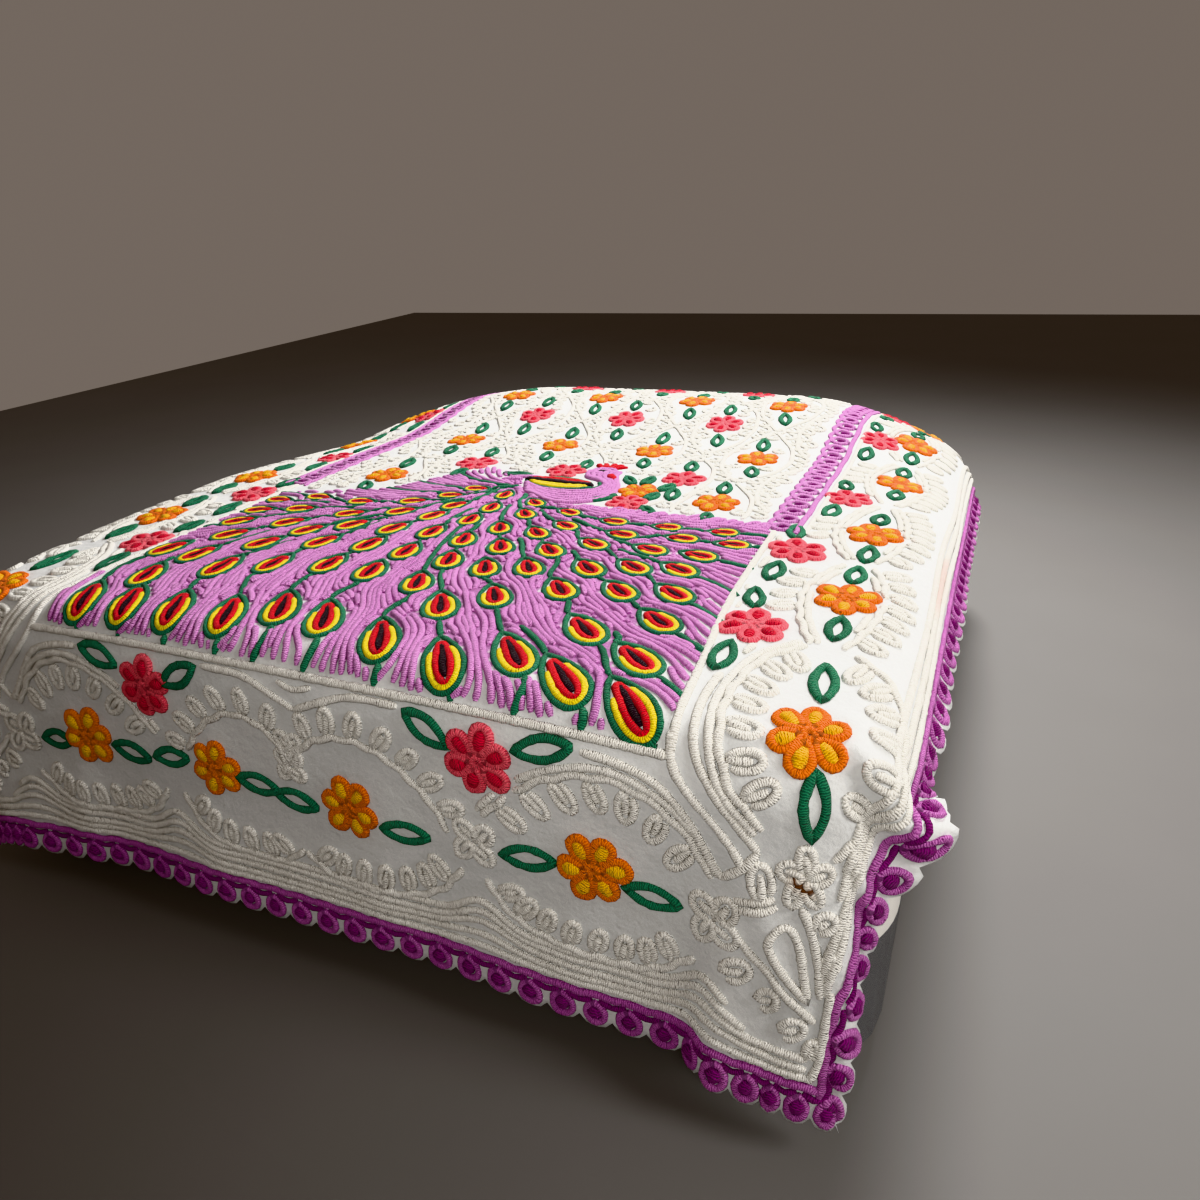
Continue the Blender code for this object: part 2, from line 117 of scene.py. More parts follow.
def smooth_step(share):
    """The same share, but starting and ending gently."""
    return share * share * (3 - 2 * share)


def unit(vectors):
    """Each vector at a length of 1."""
    return vectors / np.linalg.norm(vectors, axis=-1, keepdims=True)


def crown(x, y):
    """Height of the domed mattress top with its soft bedding."""
    u, v = np.abs(x) / HALF_WIDTH, np.abs(y) / HALF_LENGTH
    foot_corner = SINK_CORNER * (u * v)**3 * (np.asarray(y) < 0)
    swell = SWELL * smooth_step(part_way(y, SWELL_FROM, SWELL_TOP))
    head = HEAD_FALL * part_way(y, HEAD_FALL_FROM, HALF_LENGTH)**2
    fall = CORNER_FALL * part_way(np.abs(x), CORNER_FALL_X, HALF_WIDTH)**2
    fall = fall * part_way(y, CORNER_FALL_Y, HALF_LENGTH)**1.3
    return BED_TOP - SINK_SIDE * u**3 - SINK_END * v**4 - foot_corner + swell - head - fall


def eased(at, rows, column):
    """Read one column of a fold table, easing in and out of each row."""
    places = np.array([row.at for row in rows])
    values = np.array([getattr(row, column) for row in rows])
    at = np.clip(at, places[0], places[-1])
    low = np.clip(np.searchsorted(places, at, side="right") - 1, 0, len(rows) - 2)
    weight = smooth_step((at - places[low]) / (places[low + 1] - places[low]))
    return values[low] + (values[low + 1] - values[low]) * weight


def on_outline(at):
    """Corner or side centre and outward direction, for a corner in the +x +y quadrant."""
    turn = np.clip(math.pi / 4 - at / MATTRESS_CORNER, 0, math.pi / 2)
    x = INNER_X - np.maximum(-at - HALF_TURN, 0)
    y = INNER_Y - np.maximum(at - HALF_TURN, 0)
    return x, y, np.cos(turn), np.sin(turn)


# %% The drape itself
def drape(s, t):
    """Underside of the cloth at flat point (s, t), as an array of x, y, z."""
    s, t = np.broadcast_arrays(np.asarray(s, float), np.asarray(t, float))
    sx, sy = np.where(s < 0, -1.0, 1.0), np.where(t < 0, -1.0, 1.0)
    a, b = np.abs(s), np.abs(t)
    cx, cy = np.minimum(a, INNER_X), np.minimum(b, INNER_Y)
    ex, ey = a - cx, b - cy
    reach = np.hypot(ex, ey)
    safe = np.maximum(reach, 1e-9)
    nx = np.where(reach > 1e-9, ex / safe, 1.0)
    ny = np.where(reach > 1e-9, ey / safe, 0.0)
    at = MATTRESS_CORNER * (math.pi / 4 - np.arctan2(ny, nx))
    at = np.where(ey < 1e-9, HALF_TURN + (INNER_Y - cy), at)
    at = np.where((ex < 1e-9) & (ey >= 1e-9), -HALF_TURN - (INNER_X - cx), at)
    angle = np.clip((reach - FLAT_REACH) / SHOULDER, 0, math.pi / 2)
    level = np.minimum(reach, FLAT_REACH) + SHOULDER * np.sin(angle)
    sunk = SHOULDER * (1 - np.cos(angle))
    drop = np.maximum(reach - FLAT_REACH - ARC_LENGTH, 0)
    end = np.where(t < 0, FOOT_HEM, HEAD_HEM)
    whole = np.minimum((SIDE_HEM - cx) / np.maximum(nx, 1e-6), (end - cy) / np.maximum(ny, 1e-6))
    share = drop / np.maximum(whole - FLAT_REACH - ARC_LENGTH, 1e-6)
    fold = np.zeros((4,) + a.shape)
    for name, rows in FOLDS.items():
        here = ((sy < 0) == name.startswith("foot")) & ((sx > 0) == name.endswith("right"))
        fold = np.where(here, [eased(at, rows, column) for column in Fold._fields[1:]], fold)
    out, slide, lift, ridge = fold
    out, slide = out * share**1.25, slide * share
    ridge = ridge * smooth_step(part_way(reach, RIDGE_START, RIDGE_FULL))
    px, py, qx, qy = on_outline(at + slide)
    beyond = drop > 0
    px, py = np.where(beyond, px, cx), np.where(beyond, py, cy)
    qx, qy = np.where(beyond, qx, nx), np.where(beyond, qy, ny)
    fall = np.sqrt(np.maximum(drop**2 - out**2 - slide**2, (0.3 * drop)**2))
    height = crown((cx + nx * level) * sx, (cy + ny * level) * sy) - sunk - fall
    height = height + lift * share + ridge * np.cos(angle)
    off = level + out + ridge * np.sin(angle)
    return np.stack([sx * (px + qx * off), sy * (py + qy * off) + BED_SHIFT, height], axis=-1)


print("tip of the near corner:", drape(SIDE_HEM, -FOOT_HEM).round(3))

# %% [markdown]
# ## Creases
#
# On top of the folds the cloth has a few creases that are too small for the solids.
# Each is a straight soft ridge, or a trough where its height is below zero, between
# two flat points.  They are part of the cloth's shape, so the yarn rides over them.

# %% Creases of the cloth
Crease = namedtuple("Crease", "s0 t0 s1 t1 width height")
CREASES = [
    Crease(0.852, -0.922, 1.066, -0.99, 0.019, 0.022), Crease(0.884, -0.972, 1.05, -1.036, 0.018, -0.008),
    Crease(0.925, -1.045, 1.045, -1.15, 0.013, 0.009), Crease(0.93, -1.06, 1.0, -1.3, 0.016, 0.006),
    Crease(0.985, -1.14, 1.02, -1.33, 0.012, 0.007), Crease(0.69, -1.03, 0.94, -1.4, 0.03, 0.006),
    Crease(0.18, -1.12, 0.12, -1.5, 0.05, 0.005), Crease(0.52, -1.15, 0.5, -1.5, 0.045, 0.004),
    Crease(-0.2, -1.1, -0.25, -1.5, 0.05, 0.005), Crease(-0.56, -1.12, -0.6, -1.5, 0.045, 0.006),
    Crease(-0.78, -1.15, -0.95, -1.4, 0.025, 0.006), Crease(0.655, -0.42, 0.662, -0.96, 0.01, 0.003),
]
CLOTH = 0.002


def creased(s, t):
    """How far the creases lift the cloth at flat point (s, t)."""
    total = np.zeros(np.broadcast(s, t).shape)
    for c in CREASES:
        ds, dt = c.s1 - c.s0, c.t1 - c.t0
        length = math.hypot(ds, dt)
        along = ((s - c.s0) * ds + (t - c.t0) * dt) / length**2
        across = ((s - c.s0) * dt - (t - c.t0) * ds) / length
        fade = np.minimum(1, 1.7 * np.sin(math.pi * np.clip(along, 0, 1)))
        total = total + c.height * np.exp(-(across / c.width)**2) * fade
    return total


def lay(s, t, step=0.004):
    """Top face of the cloth at flat point (s, t), and the way that it faces."""
    s, t = np.asarray(s, float), np.asarray(t, float)
    pairs = [((s + ds, t + dt), (s - ds, t - dt)) for ds, dt in ((step, 0), (0, step))]
    ways = [drape(*ahead) - drape(*back) for ahead, back in pairs]
    flat_face = unit(np.cross(*ways))
    ways = [way + flat_face * (creased(*ahead) - creased(*back))[..., None]
            for way, (ahead, back) in zip(ways, pairs)]
    return drape(s, t) + flat_face * (CLOTH + creased(s, t))[..., None], unit(np.cross(*ways))


print("creases:", len(CREASES))

# %% [markdown]
# ## The sheet
#
# The sheet is a fine grid in flat coordinates, laid by the function above.  Its hem
# is scalloped: near an edge the grid is drawn in by the scallop's depth, so the grid
# stays regular and no edge has to be cut.  A Solidify modifier gives it thickness.


# %% Grid of the sheet with its scalloped hem
def scallops(length):
    """How many scallops fit along a side, and how wide each of them is."""
    count = round((length - 2 * SCALLOP_DEPTH) / SCALLOP_PITCH)
    return count, (length - 2 * SCALLOP_DEPTH) / count


def scallop(place, start, end):
    """How far the hem is drawn in at a place along one side of the sheet."""
    count, pitch = scallops(end - start)
    share = (place - start - SCALLOP_DEPTH) / pitch
    notch = np.abs(np.sin(math.pi * share))**0.45
    inside = (share >= 0) & (share <= count)
    return SCALLOP_DEPTH * np.where(inside, 1 - notch, 0.25)


def hem_lines(start, end, cuts=5):
    """Grid lines along one side: cuts to each scallop, and the two hems."""
    inner = np.linspace(start + SCALLOP_DEPTH, end - SCALLOP_DEPTH, scallops(end - start)[0] * cuts + 1)
    return np.concatenate([[start], inner, [end]])


def placed(name, data):
    """A new object in the scene that shows this data."""
    thing = bpy.data.objects.new(name, data)
    bpy.context.scene.collection.objects.link(thing)
    return thing


def to_mesh(name, points, faces):
    """A piece made of these points and faces."""
    mesh = bpy.data.meshes.new(name)
    mesh.from_pydata(points, [], faces)
    mesh.update()
    return placed(name, mesh)


def woven_sheet():
    """The sheet itself, and the flat place of each of its points."""
    across, along = hem_lines(-SIDE_HEM, SIDE_HEM), hem_lines(-FOOT_HEM, HEAD_HEM)
    s, t = (g.ravel() for g in np.meshgrid(across, along, indexing="ij"))
    to_side = part_way(np.abs(s), SIDE_HEM - EDGE_BAND, SIDE_HEM)
    to_foot = part_way(-t, FOOT_HEM - EDGE_BAND, FOOT_HEM)
    to_head = part_way(t, HEAD_HEM - EDGE_BAND, HEAD_HEM)
    s_in = s - np.sign(s) * to_side * scallop(t, -FOOT_HEM, HEAD_HEM)
    t_in = t + (to_foot - to_head) * scallop(s, -SIDE_HEM, SIDE_HEM)
    places, facing = lay(s_in, t_in)
    places -= facing * CLOTH
    rows, columns = len(across), len(along)
    index = np.arange(rows * columns).reshape(rows, columns)
    faces = np.stack([index[:-1, :-1], index[1:, :-1], index[1:, 1:], index[:-1, 1:]], -1)
    piece = to_mesh("tufted_bedspread", places.tolist(), faces.reshape(-1, 4).tolist())
    flat = piece.data.uv_layers.new(name="flat_cloth")
    corners = np.zeros(len(piece.data.loops), int)
    piece.data.loops.foreach_get("vertex_index", corners)
    flat.data.foreach_set("uv", np.stack([s_in[corners], t_in[corners]], -1).ravel())
    piece.data.shade_smooth()
    thick = piece.modifiers.new("cloth thickness", "SOLIDIFY")
    thick.thickness, thick.offset, thick.use_even_offset = CLOTH, 1, False
    return piece, np.stack([s_in, t_in], -1)


sheet, flat_places = woven_sheet()
print("sheet:", len(sheet.data.polygons), "squares")

# %% [markdown]
# ## Lines for the yarn
#
# Every rope of tufts is first a line in flat coordinates.  The lines are collected
# under the name of their yarn, and become ropes much later, all by one rule.

# %% Collecting and smoothing the lines
ROPE, THIN, STEP = 0.0142, 0.0115, 0.0075
SIDES = (1, -1)
Line = namedtuple("Line", "path width closed")
lines = {}


def tuft(yarn, path, width=ROPE, closed=False):
    """Ask for a rope of this yarn along a flat path."""
    path = np.asarray(path, float)
    if len(path) > 1:
        lines.setdefault(yarn, []).append(Line(path, width, closed))


def smooth(points, closed=False, step=STEP):
    """A smooth line through the points, with about one step between its own."""
    points = np.asarray(points, float)
    if closed:
        ring = np.vstack([points[-1], points, points[0], points[1]])
    else:
        ring = np.vstack([2 * points[0] - points[1], points, 2 * points[-1] - points[-2]])
    result = []
    for a, b, c, d in zip(ring[:-3], ring[1:-2], ring[2:-1], ring[3:]):
        count = max(1, round(np.linalg.norm(c - b) / step))
        u = (np.arange(count) / count)[:, None]
        result.append(0.5 * (2 * b + (c - a) * u + (2 * a - 5 * b + 4 * c - d) * u**2
                             + (3 * b - a - 3 * c + d) * u**3))
    if not closed:
        result.append(points[-1:])
    return np.vstack(result)


def mirrored(points, side):
    """The same points where side is 1, and their mirror image where it is -1."""
    return np.array(points) * (side, 1.0)


def turned(shape, angle, place):
    """Turn a small drawing anticlockwise and move it to its place."""
    c, s = math.cos(angle), math.sin(angle)
    return np.asarray(shape, float) @ np.array([[c, s], [-s, c]]) + place


def all_round(count):
    """Angles evenly round a full turn."""
    return np.linspace(0, 2 * math.pi, count + 1)[:-1]


def beside(path, offset):
    """The line that runs at an even distance to the left of a path."""
    way = unit(np.gradient(path, axis=0))
    return path + offset * np.stack([-way[:, 1], way[:, 0]], -1)


def run_along(path):
    """How far along a path each of its points is."""
    return np.concatenate([[0], np.cumsum(np.linalg.norm(np.diff(path, axis=0), axis=1))])


def spots(path, at):
    """The places on a path that are this far along it."""
    run = run_along(path)
    return np.stack([np.interp(at, run, path[:, k]) for k in (0, 1)], -1)


def stations(path, pitch, lead=0.0):
    """Even places along a path, each with the direction there."""
    whole = run_along(path)[-1] - 2 * lead
    count = max(1, round(whole / pitch))
    at = lead + (np.arange(count) + 0.5) * whole / count
    way = spots(path, at + 0.004) - spots(path, at - 0.004)
    return spots(path, at), np.arctan2(way[:, 1], way[:, 0])


print("rope", round(ROPE * 1000, 1), "mm wide")


# %% A record of where yarn already lies
class Taken:
    def __init__(self, cell=0.016):
        self.cell, self.bins = cell, {}

    def bin_of(self, point):
        return math.floor(point[0] / self.cell), math.floor(point[1] / self.cell)

    def add(self, path):
        for point in path:
            self.bins.setdefault(self.bin_of(point), []).append((float(point[0]), float(point[1])))

    def nearest(self, point):
        """Distance to the nearest point, if it is within one bin."""
        column, row = self.bin_of(point)
        best = 9.0
        for i in (column - 1, column, column + 1):
            for j in (row - 1, row, row + 1):
                for x, y in self.bins.get((i, j), ()):
                    best = min(best, (x - point[0])**2 + (y - point[1])**2)
        return math.sqrt(best)


def free_runs(path, is_free, shortest=5):
    """The stretches of a path whose points are all free."""
    start = None
    for k in range(len(path) + 1):
        inside = k < len(path) and is_free(path[k])
        if inside and start is None:
            start = k
        elif not inside and start is not None:
            if k - start >= shortest:
                yield path[start:k]
            start = None


coloured = Taken(0.04)
ROOM_BESIDE_COLOUR = 0.013


def beside_colour(point):
    """Whether white yarn has room here, next to the coloured yarn."""
    return coloured.nearest(point) > ROOM_BESIDE_COLOUR


print("ready to keep rows apart")

# %% [markdown]
# ## Flowers, leaves and curls
#
# A maker of these spreads uses a few small drawings again and again: a flower of six
# looped petals, a leaf that is only an outline, and a curl that closes an oval and
# ends along its middle.  Each is a function, so that one change reaches all copies.

# %% Small drawings
rng = np.random.default_rng(7)
PETAL = np.array([(0.012, 0), (0.023, 0.0098), (0.036, 0.014), (0.0468, 0.011), (0.0515, 0),
                  (0.0468, -0.011), (0.036, -0.014), (0.023, -0.0098)])
CORE = np.array([(0.02, 0.001), (0.028, 0), (0.037, -0.001), (0.0462, 0)])
PETAL_ROPE, CORE_ROPE, MIDDLE_ROPE, LEAF_ROPE = 0.014, 0.0225, 0.0145, 0.0148
CURL_LONG, CURL_WIDE, CURL_ROPE, CURL_TILT, LEAD = 0.0222, 0.0115, 0.0135, 1.32, 0.012
CURL_PHASE = np.arange(-2.4, 2.85, 0.4)
CURL = np.vstack([np.stack([np.cos(CURL_PHASE), np.sin(CURL_PHASE)], -1),
                  [(-0.8, 0.14), (-0.42, 0.02), (0.02, -0.03), (0.45, 0.0)]])


def flower(outline, core, s, t, size, turn):
    """Six looped petals with a filled core each, round a small looped middle."""
    scale = size / 0.058
    for k in range(6):
        angle = turn + math.pi / 3 * k + rng.uniform(-0.09, 0.09)
        own = scale * rng.uniform(0.93, 1.06)
        tuft(outline, turned(smooth(PETAL * own, True), angle, (s, t)), PETAL_ROPE * scale, True)
        tuft(core, turned(CORE * own, angle, (s, t)), CORE_ROPE * scale)
    ring = [(0.008 * scale * math.cos(a), 0.008 * scale * math.sin(a)) for a in np.arange(7) * 0.9]
    tuft(outline, np.array(ring) + (s, t), MIDDLE_ROPE * scale, True)


def orange_flower(*drawing):
    flower("orange", "gold", *drawing)


def pink_flower(*drawing):
    flower("pink", "crimson", *drawing)


def leaf(s, t, angle, length=0.086, width=0.036):
    """Outline of a leaf, pointed at both ends, its long axis along the angle."""
    half, wide = length / 2 - 0.004, width / 2 - 0.005
    u = np.linspace(-1, 1, 13)
    upper = np.stack([u * half, wide * (1 - np.abs(u)**1.9)], -1)
    lower = np.stack([u[::-1] * half, -wide * (1 - np.abs(u[::-1])**1.9)], -1)[1:-1]
    tuft("green", turned(np.vstack([upper, lower]), angle, (s, t)), LEAF_ROPE, True)


def curl(place, angle, size, hand, wide, yarn="white_foot", room=0.0):
    """A curl, left out where it would come nearer than its room to coloured yarn."""
    line = turned(CURL * (CURL_LONG * size, hand * CURL_WIDE * size * wide), angle, place)
    if not room or min(coloured.nearest(p) for p in line) > room:
        tuft(yarn, line, CURL_ROPE)


def rosette(s, t, size, turn, count, wide):
    """Small curls that sit close together round a middle."""
    middle = CURL_LONG * size + 0.004
    for k in range(count):
        a = turn + 2 * math.pi * k / count
        place = (s + middle * math.cos(a), t + middle * math.sin(a))
        curl(place, a + 0.25, size, (-1)**k, wide, room=0.0085)


def plain_rope(yarn, points, side):
    """A rope through the points, left out where coloured yarn lies."""
    for run in free_runs(smooth(mirrored(points, side)), beside_colour, 3):
        tuft(yarn, run)


def garland(points, yarn, side, pitch, size, rail=None):
    """Curls that hang along a line of small arcs, like handwriting, with or without a plain rail."""
    path = smooth(points)
    places, ways = stations(path, pitch, LEAD)
    run = run_along(path)
    turns = (run - LEAD) / (run[-1] - 2 * LEAD) * len(places) - 0.5
    arcs = 0.0052 * np.abs(np.sin(math.pi * turns))[:, None]
    for offset in (arcs,) if rail is None else (arcs, rail):
        for free in free_runs(beside(path, -side * offset), beside_colour):
            tuft(yarn, free)
    reach = CURL_LONG * size + 0.003
    for place, way in zip(places, ways):
        spot = place + reach * side * np.array([-math.sin(way), math.cos(way)])
        curl(spot, way + side * CURL_TILT, size * rng.uniform(0.94, 1.05), side, 1.0, yarn, 0.012)


print("small drawings: flower, leaf, curl, rosette, garland")

# %% [markdown]
# ## The fan of tail feathers
#
# The old patterns of this kind show a bird with its tail fanned over the bed.  The
# feathers end in eyes of four yarns, and the ground between them is filled with rows
# that part round every eye, as water parts round stones.  That is also how they are
# made here: the eyes are put in place first, then rows are grown through a flow, each
# stopping where it would crowd another.

# %% Where the eyes are, and which way they lean
ROOT = np.array((-0.045, -0.13))
Eyes = namedtuple("Eyes", "length width places")
EYES = [
    Eyes(0.148, 0.076, ((-.565, -.93), (-.455, -.925), (-.34, -.92), (-.22, -.91),
                        (-.135, -.865), (-.03, -.875), (.11, -.905), (.25, -.933),
                        (.35, -.885), (.455, -.922), (.574, -.95))),
    Eyes(0.125, 0.074, ((-.52, -.82), (-.39, -.75), (.145, -.775), (.425, -.78), (.54, -.84))),
    Eyes(0.11, 0.07, ((-.59, -.7), (-.495, -.71), (-.29, -.71), (-.175, -.68), (-.07, -.685),
                        (.05, -.705), (.22, -.715), (.32, -.655), (.53, -.715))),
    Eyes(0.104, 0.067, ((-.51, -.6), (-.395, -.625), (-.27, -.585), (-.16, -.57), (-.06, -.58),
                        (.05, -.595), (.14, -.61), (.22, -.585), (.33, -.555), (.425, -.63), (.52, -.61))),
    Eyes(0.098, 0.064, ((-.56, -.525), (-.43, -.505), (-.35, -.535), (-.27, -.48), (-.165, -.475),
                        (-.07, -.47), (.02, -.49), (.115, -.505), (.22, -.495), (.41, -.525), (.495, -.51))),
    Eyes(0.09, 0.059, ((-.57, -.45), (-.47, -.42), (-.325, -.42), (-.215, -.375), (-.125, -.38),
                        (-.03, -.38), (.06, -.41), (.15, -.415), (.29, -.44), (.41, -.435), (.51, -.435))),
    Eyes(0.084, 0.055, ((-.575, -.375), (-.485, -.335), (-.355, -.34), (-.23, -.305), (-.115, -.305),
                        (-.025, -.295), (.07, -.315), (.19, -.36), (.325, -.375), (.45, -.36), (.555, -.36))),
    Eyes(0.076, 0.05, ((-.165, -.243), (-.13, -.182), (-.04, -.205), (.055, -.24), (.16, -.28),
                        (.28, -.308), (.4, -.308), (.52, -.302))),
]


def lean(s, t):
    """Angle of the fan's rows from straight towards the foot, turned towards +s."""
    radial = np.arctan2(s - ROOT[0], ROOT[1] - t)
    low = smooth_step(part_way(-t, 0.6, 0.88))
    high = 1 - smooth_step(part_way(-t, 0.34, 0.56))
    twist = high * 0.4 * np.clip((s - ROOT[0]) / 0.35, -1, 1)
    twist = twist + (1 - high) * 0.12
    twist = twist + low * (np.where(s < 0.2, 0.47 - 1.05 * s, 0.26) - 0.12)
    comb = smooth_step(part_way(t, -0.36, -0.22)) * smooth_step(part_way(-s, 0.06, 0.16))
    hang = smooth_step(part_way(-t, 0.935, 0.99))
    return (radial + twist - 0.28 * comb) * (1 - 0.8 * hang)


eyes = np.array([(s, t, math.sin(lean(s, t)), -math.cos(lean(s, t)), row.length / 2, row.width / 2)
                 for row in EYES for s, t in row.places])
print("eyes:", len(eyes))

# %% One eye: green round yellow round red round black
Ring = namedtuple("Ring", "yarn end_inset side_inset shift thick start end")
RINGS = (Ring("green", 0.48, 0.48, 0.0, 1.04, 0.0, 2 * math.pi),
         Ring("yellow", 1.5, 1.4, 0.25, 1.18, 1.0, 5.1), Ring("red", 2.05, 2.38, 0.2, 1.3, 0.12, 6.16))
SPINDLE = np.array([(-1.02, 0), (-0.35, 0.12), (0.35, -0.12), (0.96, 0)])

UNITS_ACROSS, BLACK_THICK = 3.55, 1.24


def teardrop(half_length, half_width, start, end, count):
    """Drop shape with its point at -x, from one angle round to another."""
    around = np.linspace(start, end, count)
    x = -half_length * np.cos(around)
    y = half_width * np.sin(around) * np.abs(np.sin(around / 2))**0.7 * 1.2
    return np.stack([x, y], -1)


def eye(s, t, ux, uy, half_length, half_width):
    """The rings of an eye; its unit is about the width of one rope."""
    unit_width = half_width / UNITS_ACROSS
    angle = math.atan2(uy, ux)
    for number, ring in enumerate(RINGS):
        shape = teardrop(half_length - unit_width * ring.end_inset, half_width - unit_width * ring.side_inset,
                         ring.start, ring.end, max(12, round(half_length * 400) - 4 * number))
        shape[:, 0] += unit_width * ring.shift
        closed = number == 0
        shape = turned(shape[:-1] if closed else shape, angle, (s, t))
        tuft(ring.yarn, shape, unit_width * ring.thick, closed)
    spindle = smooth(SPINDLE * (half_length - unit_width * 2.9, unit_width), step=0.006)
    tuft("black", turned(spindle, angle, (s, t)), unit_width * BLACK_THICK)


for row in eyes:
    eye(*row)
print("rings:", {yarn: len(rows) for yarn, rows in lines.items()})

# %% [markdown]
# ## The bird
#
# A plain hen-like bird in profile: a round head with a comb, an S-shaped neck, and a
# folded wing.  Its rows are shared out evenly between two edge lines, and the outer
# ones run on into the fan.

# %% Body, wing, head and comb
BREAST = smooth([(0.16, 0.03), (0.158, 0.0), (0.178, -0.045), (0.2, -0.095), (0.203, -0.145),
                 (0.18, -0.195), (0.13, -0.222), (0.08, -0.216), (0.03, -0.185), (-0.01, -0.166)])
NAPE = smooth([(0.082, 0.026), (0.084, -0.002), (0.098, -0.03), (0.138, -0.05), (0.164, -0.082),
               (0.158, -0.12), (0.126, -0.142), (0.07, -0.149), (0.01, -0.14), (-0.04, -0.106)])
BODY_ROWS, BODY_ROPE, HEAD_ROPE = 6, 0.0162, 0.0145
PLUMES = ([(-0.02, -0.062), (-0.06, -0.066), (-0.1, -0.082)], [(-0.058, -0.084), (-0.11, -0.098)],
          [(0.09, 0.006), (0.112, 0.0), (0.14, 0.004)])
COMB = ((0.098, 0.076, 0.078), (0.108, 0.098, 0.086), (0.12, 0.122, 0.09), (0.131, 0.144, 0.084),
        (0.138, 0.162, 0.07))
WING_LEFT, WING_RIGHT = np.array((-0.05, -0.082)), np.array((0.142, -0.094))
WING = (("green", 0.036, 0.3, 0.93), ("red", 0.024, 0.04, 0.93), ("red", 0.012, 0.02, 0.96),
        ("black", -0.003, 0.0, 0.98), ("yellow", -0.019, 0.08, 0.93), ("yellow", -0.031, 0.17, 0.87),
        ("green", -0.044, 0.02, 0.98))
WING_ROPES = {"green": 0.0105, "black": 0.0215, "red": 0.015, "yellow": 0.015}
edges = [spots(path, np.linspace(0, 1, 60) * run_along(path)[-1]) for path in (BREAST, NAPE)]
for k in range(BODY_ROWS):
    tuft("orchid", edges[0] + (edges[1] - edges[0]) * k / (BODY_ROWS - 1), BODY_ROPE)
for points in PLUMES:
    tuft("orchid", smooth(points), 0.016)
for size in (0.028, 0.015):
    head = [0.118 + size * 1.12 * np.cos(all_round(14)), 0.018 + size * np.sin(all_round(14))]
    tuft("orchid", np.stack(head, -1), HEAD_ROPE, True)
tuft("black", [(0.1, 0.016), (0.112, 0.018), (0.128, 0.017)], 0.019)
tuft("red", smooth([(0.144, -0.006), (0.156, -0.022), (0.172, -0.038)]), 0.024)
for root, tip, height in COMB:
    tuft("red", smooth([(root, 0.052), (root * 0.5 + tip * 0.5, 0.066), (tip, height)]), 0.0165)
tuft("red", [(0.096, 0.052), (0.118, 0.056), (0.14, 0.051)], 0.016)
for yarn, sag, start, end in WING:
    u = np.linspace(start, end, 13)[:, None]
    bow = np.maximum(1 - (2 * u - 1)**2, 0)**0.7 * sag
    tuft(yarn, WING_LEFT + (WING_RIGHT - WING_LEFT) * u + bow * np.array((0.06, 1.0)), WING_ROPES[yarn])
tuft("green", smooth([(0.14, -0.062), (0.152, -0.084), (0.15, -0.108), (0.136, -0.124)]), THIN)
print("bird rows:", len(lines["orchid"]))

# %% [markdown]
# ## Growing the rows of the fan
#
# The flow round one eye is the textbook one round a post, squeezed to the eye's
# shape.  Rows start beside rows that are already there and stop at an eye, at the
# edge of the panel or where the gap closes.  Near the foot hardly any new ones start,
# so the last rows spread apart and show the cotton between them, like real barbs.

# %% Shape of the panel and the flow in it
FAN_TOP = np.array([(-0.66, -0.335), (-0.5, -0.285), (-0.384, -0.25), (-0.33, -0.195), (-0.28, -0.12),
                    (-0.23, -0.05), (-0.19, -0.005), (-0.12, -0.04), (-0.075, -0.07), (-0.055, -0.1),
                    (-0.02, -0.15), (0.06, -0.212), (0.1, -0.236), (0.2, -0.25), (0.66, -0.258)]).T
FAN_FOOT, FAN_HALF, FAN_FLARE = -0.9985, 0.615, 0.03
FLOW_REACH, POST, MOST_STEPS = 0.13, 1.12, 260
taken = Taken()
for rows in lines.values():
    for row in rows:
        taken.add(row.path)


def within_fan(p):
    """Whether a flat point is in the panel that the fan fills."""
    side = FAN_HALF + FAN_FLARE * part_way(-p[1], 0.3, 1.0)
    return abs(p[0]) < side and FAN_FOOT < p[1] < np.interp(p[0], *FAN_TOP)


def seen_from(rows, p):
    """Where a flat point is for each of these eyes: along the eye's axis, and across it."""
    dx, dy = p[0] - rows[:, 0], p[1] - rows[:, 1]
    return dx * rows[:, 2] + dy * rows[:, 3], dy * rows[:, 2] - dx * rows[:, 3]


def flow(p):
    """Direction of the fan's rows at a flat point, parted round the eyes."""
    angle = lean(p[0], p[1])
    way = np.array([math.sin(angle), -math.cos(angle)])
    near = eyes[np.hypot(eyes[:, 0] - p[0], eyes[:, 1] - p[1]) < FLOW_REACH]
    for (_, _, ux, uy, a, b), along, across in zip(near, *seen_from(near, p)):
        along = along * b / a
        post = (POST * b)**2
        square = max(along**2 + across**2, post * 0.9)
        push = -post * (along**2 - across**2) / square**2
        aside = -2 * post * along * across / square**2 * b / a
        way = way + push * np.array((ux, uy)) + aside * np.array((-uy, ux))
    return way / max(np.linalg.norm(way), 1e-6)


def in_an_eye(p, margin):
    """Whether a flat point is in an eye, or nearer to one than the margin."""
    along, across = seen_from(eyes, p)
    waist = 0.42 + 0.58 * part_way(along, -eyes[:, 4], -0.2 * eyes[:, 4])
    return np.any((along / (eyes[:, 4] + margin))**2
                  + (across / (eyes[:, 5] * waist + margin))**2 < 1)


def grow(start, gap, margin):
    """A row through a starting point, with the flow and against it."""
    halves = []
    for sign in SIDES:
        p, path = np.array(start, float), []
        for _ in range(MOST_STEPS):
            half = p + sign * 0.5 * STEP * flow(p)
            p = p + sign * STEP * flow(half)
            if not within_fan(p) or in_an_eye(p, margin) or taken.nearest(p) < gap:
                break
            path.append(p)
        halves.append(path)
    return np.array(halves[1][::-1] + [np.array(start, float)] + halves[0])


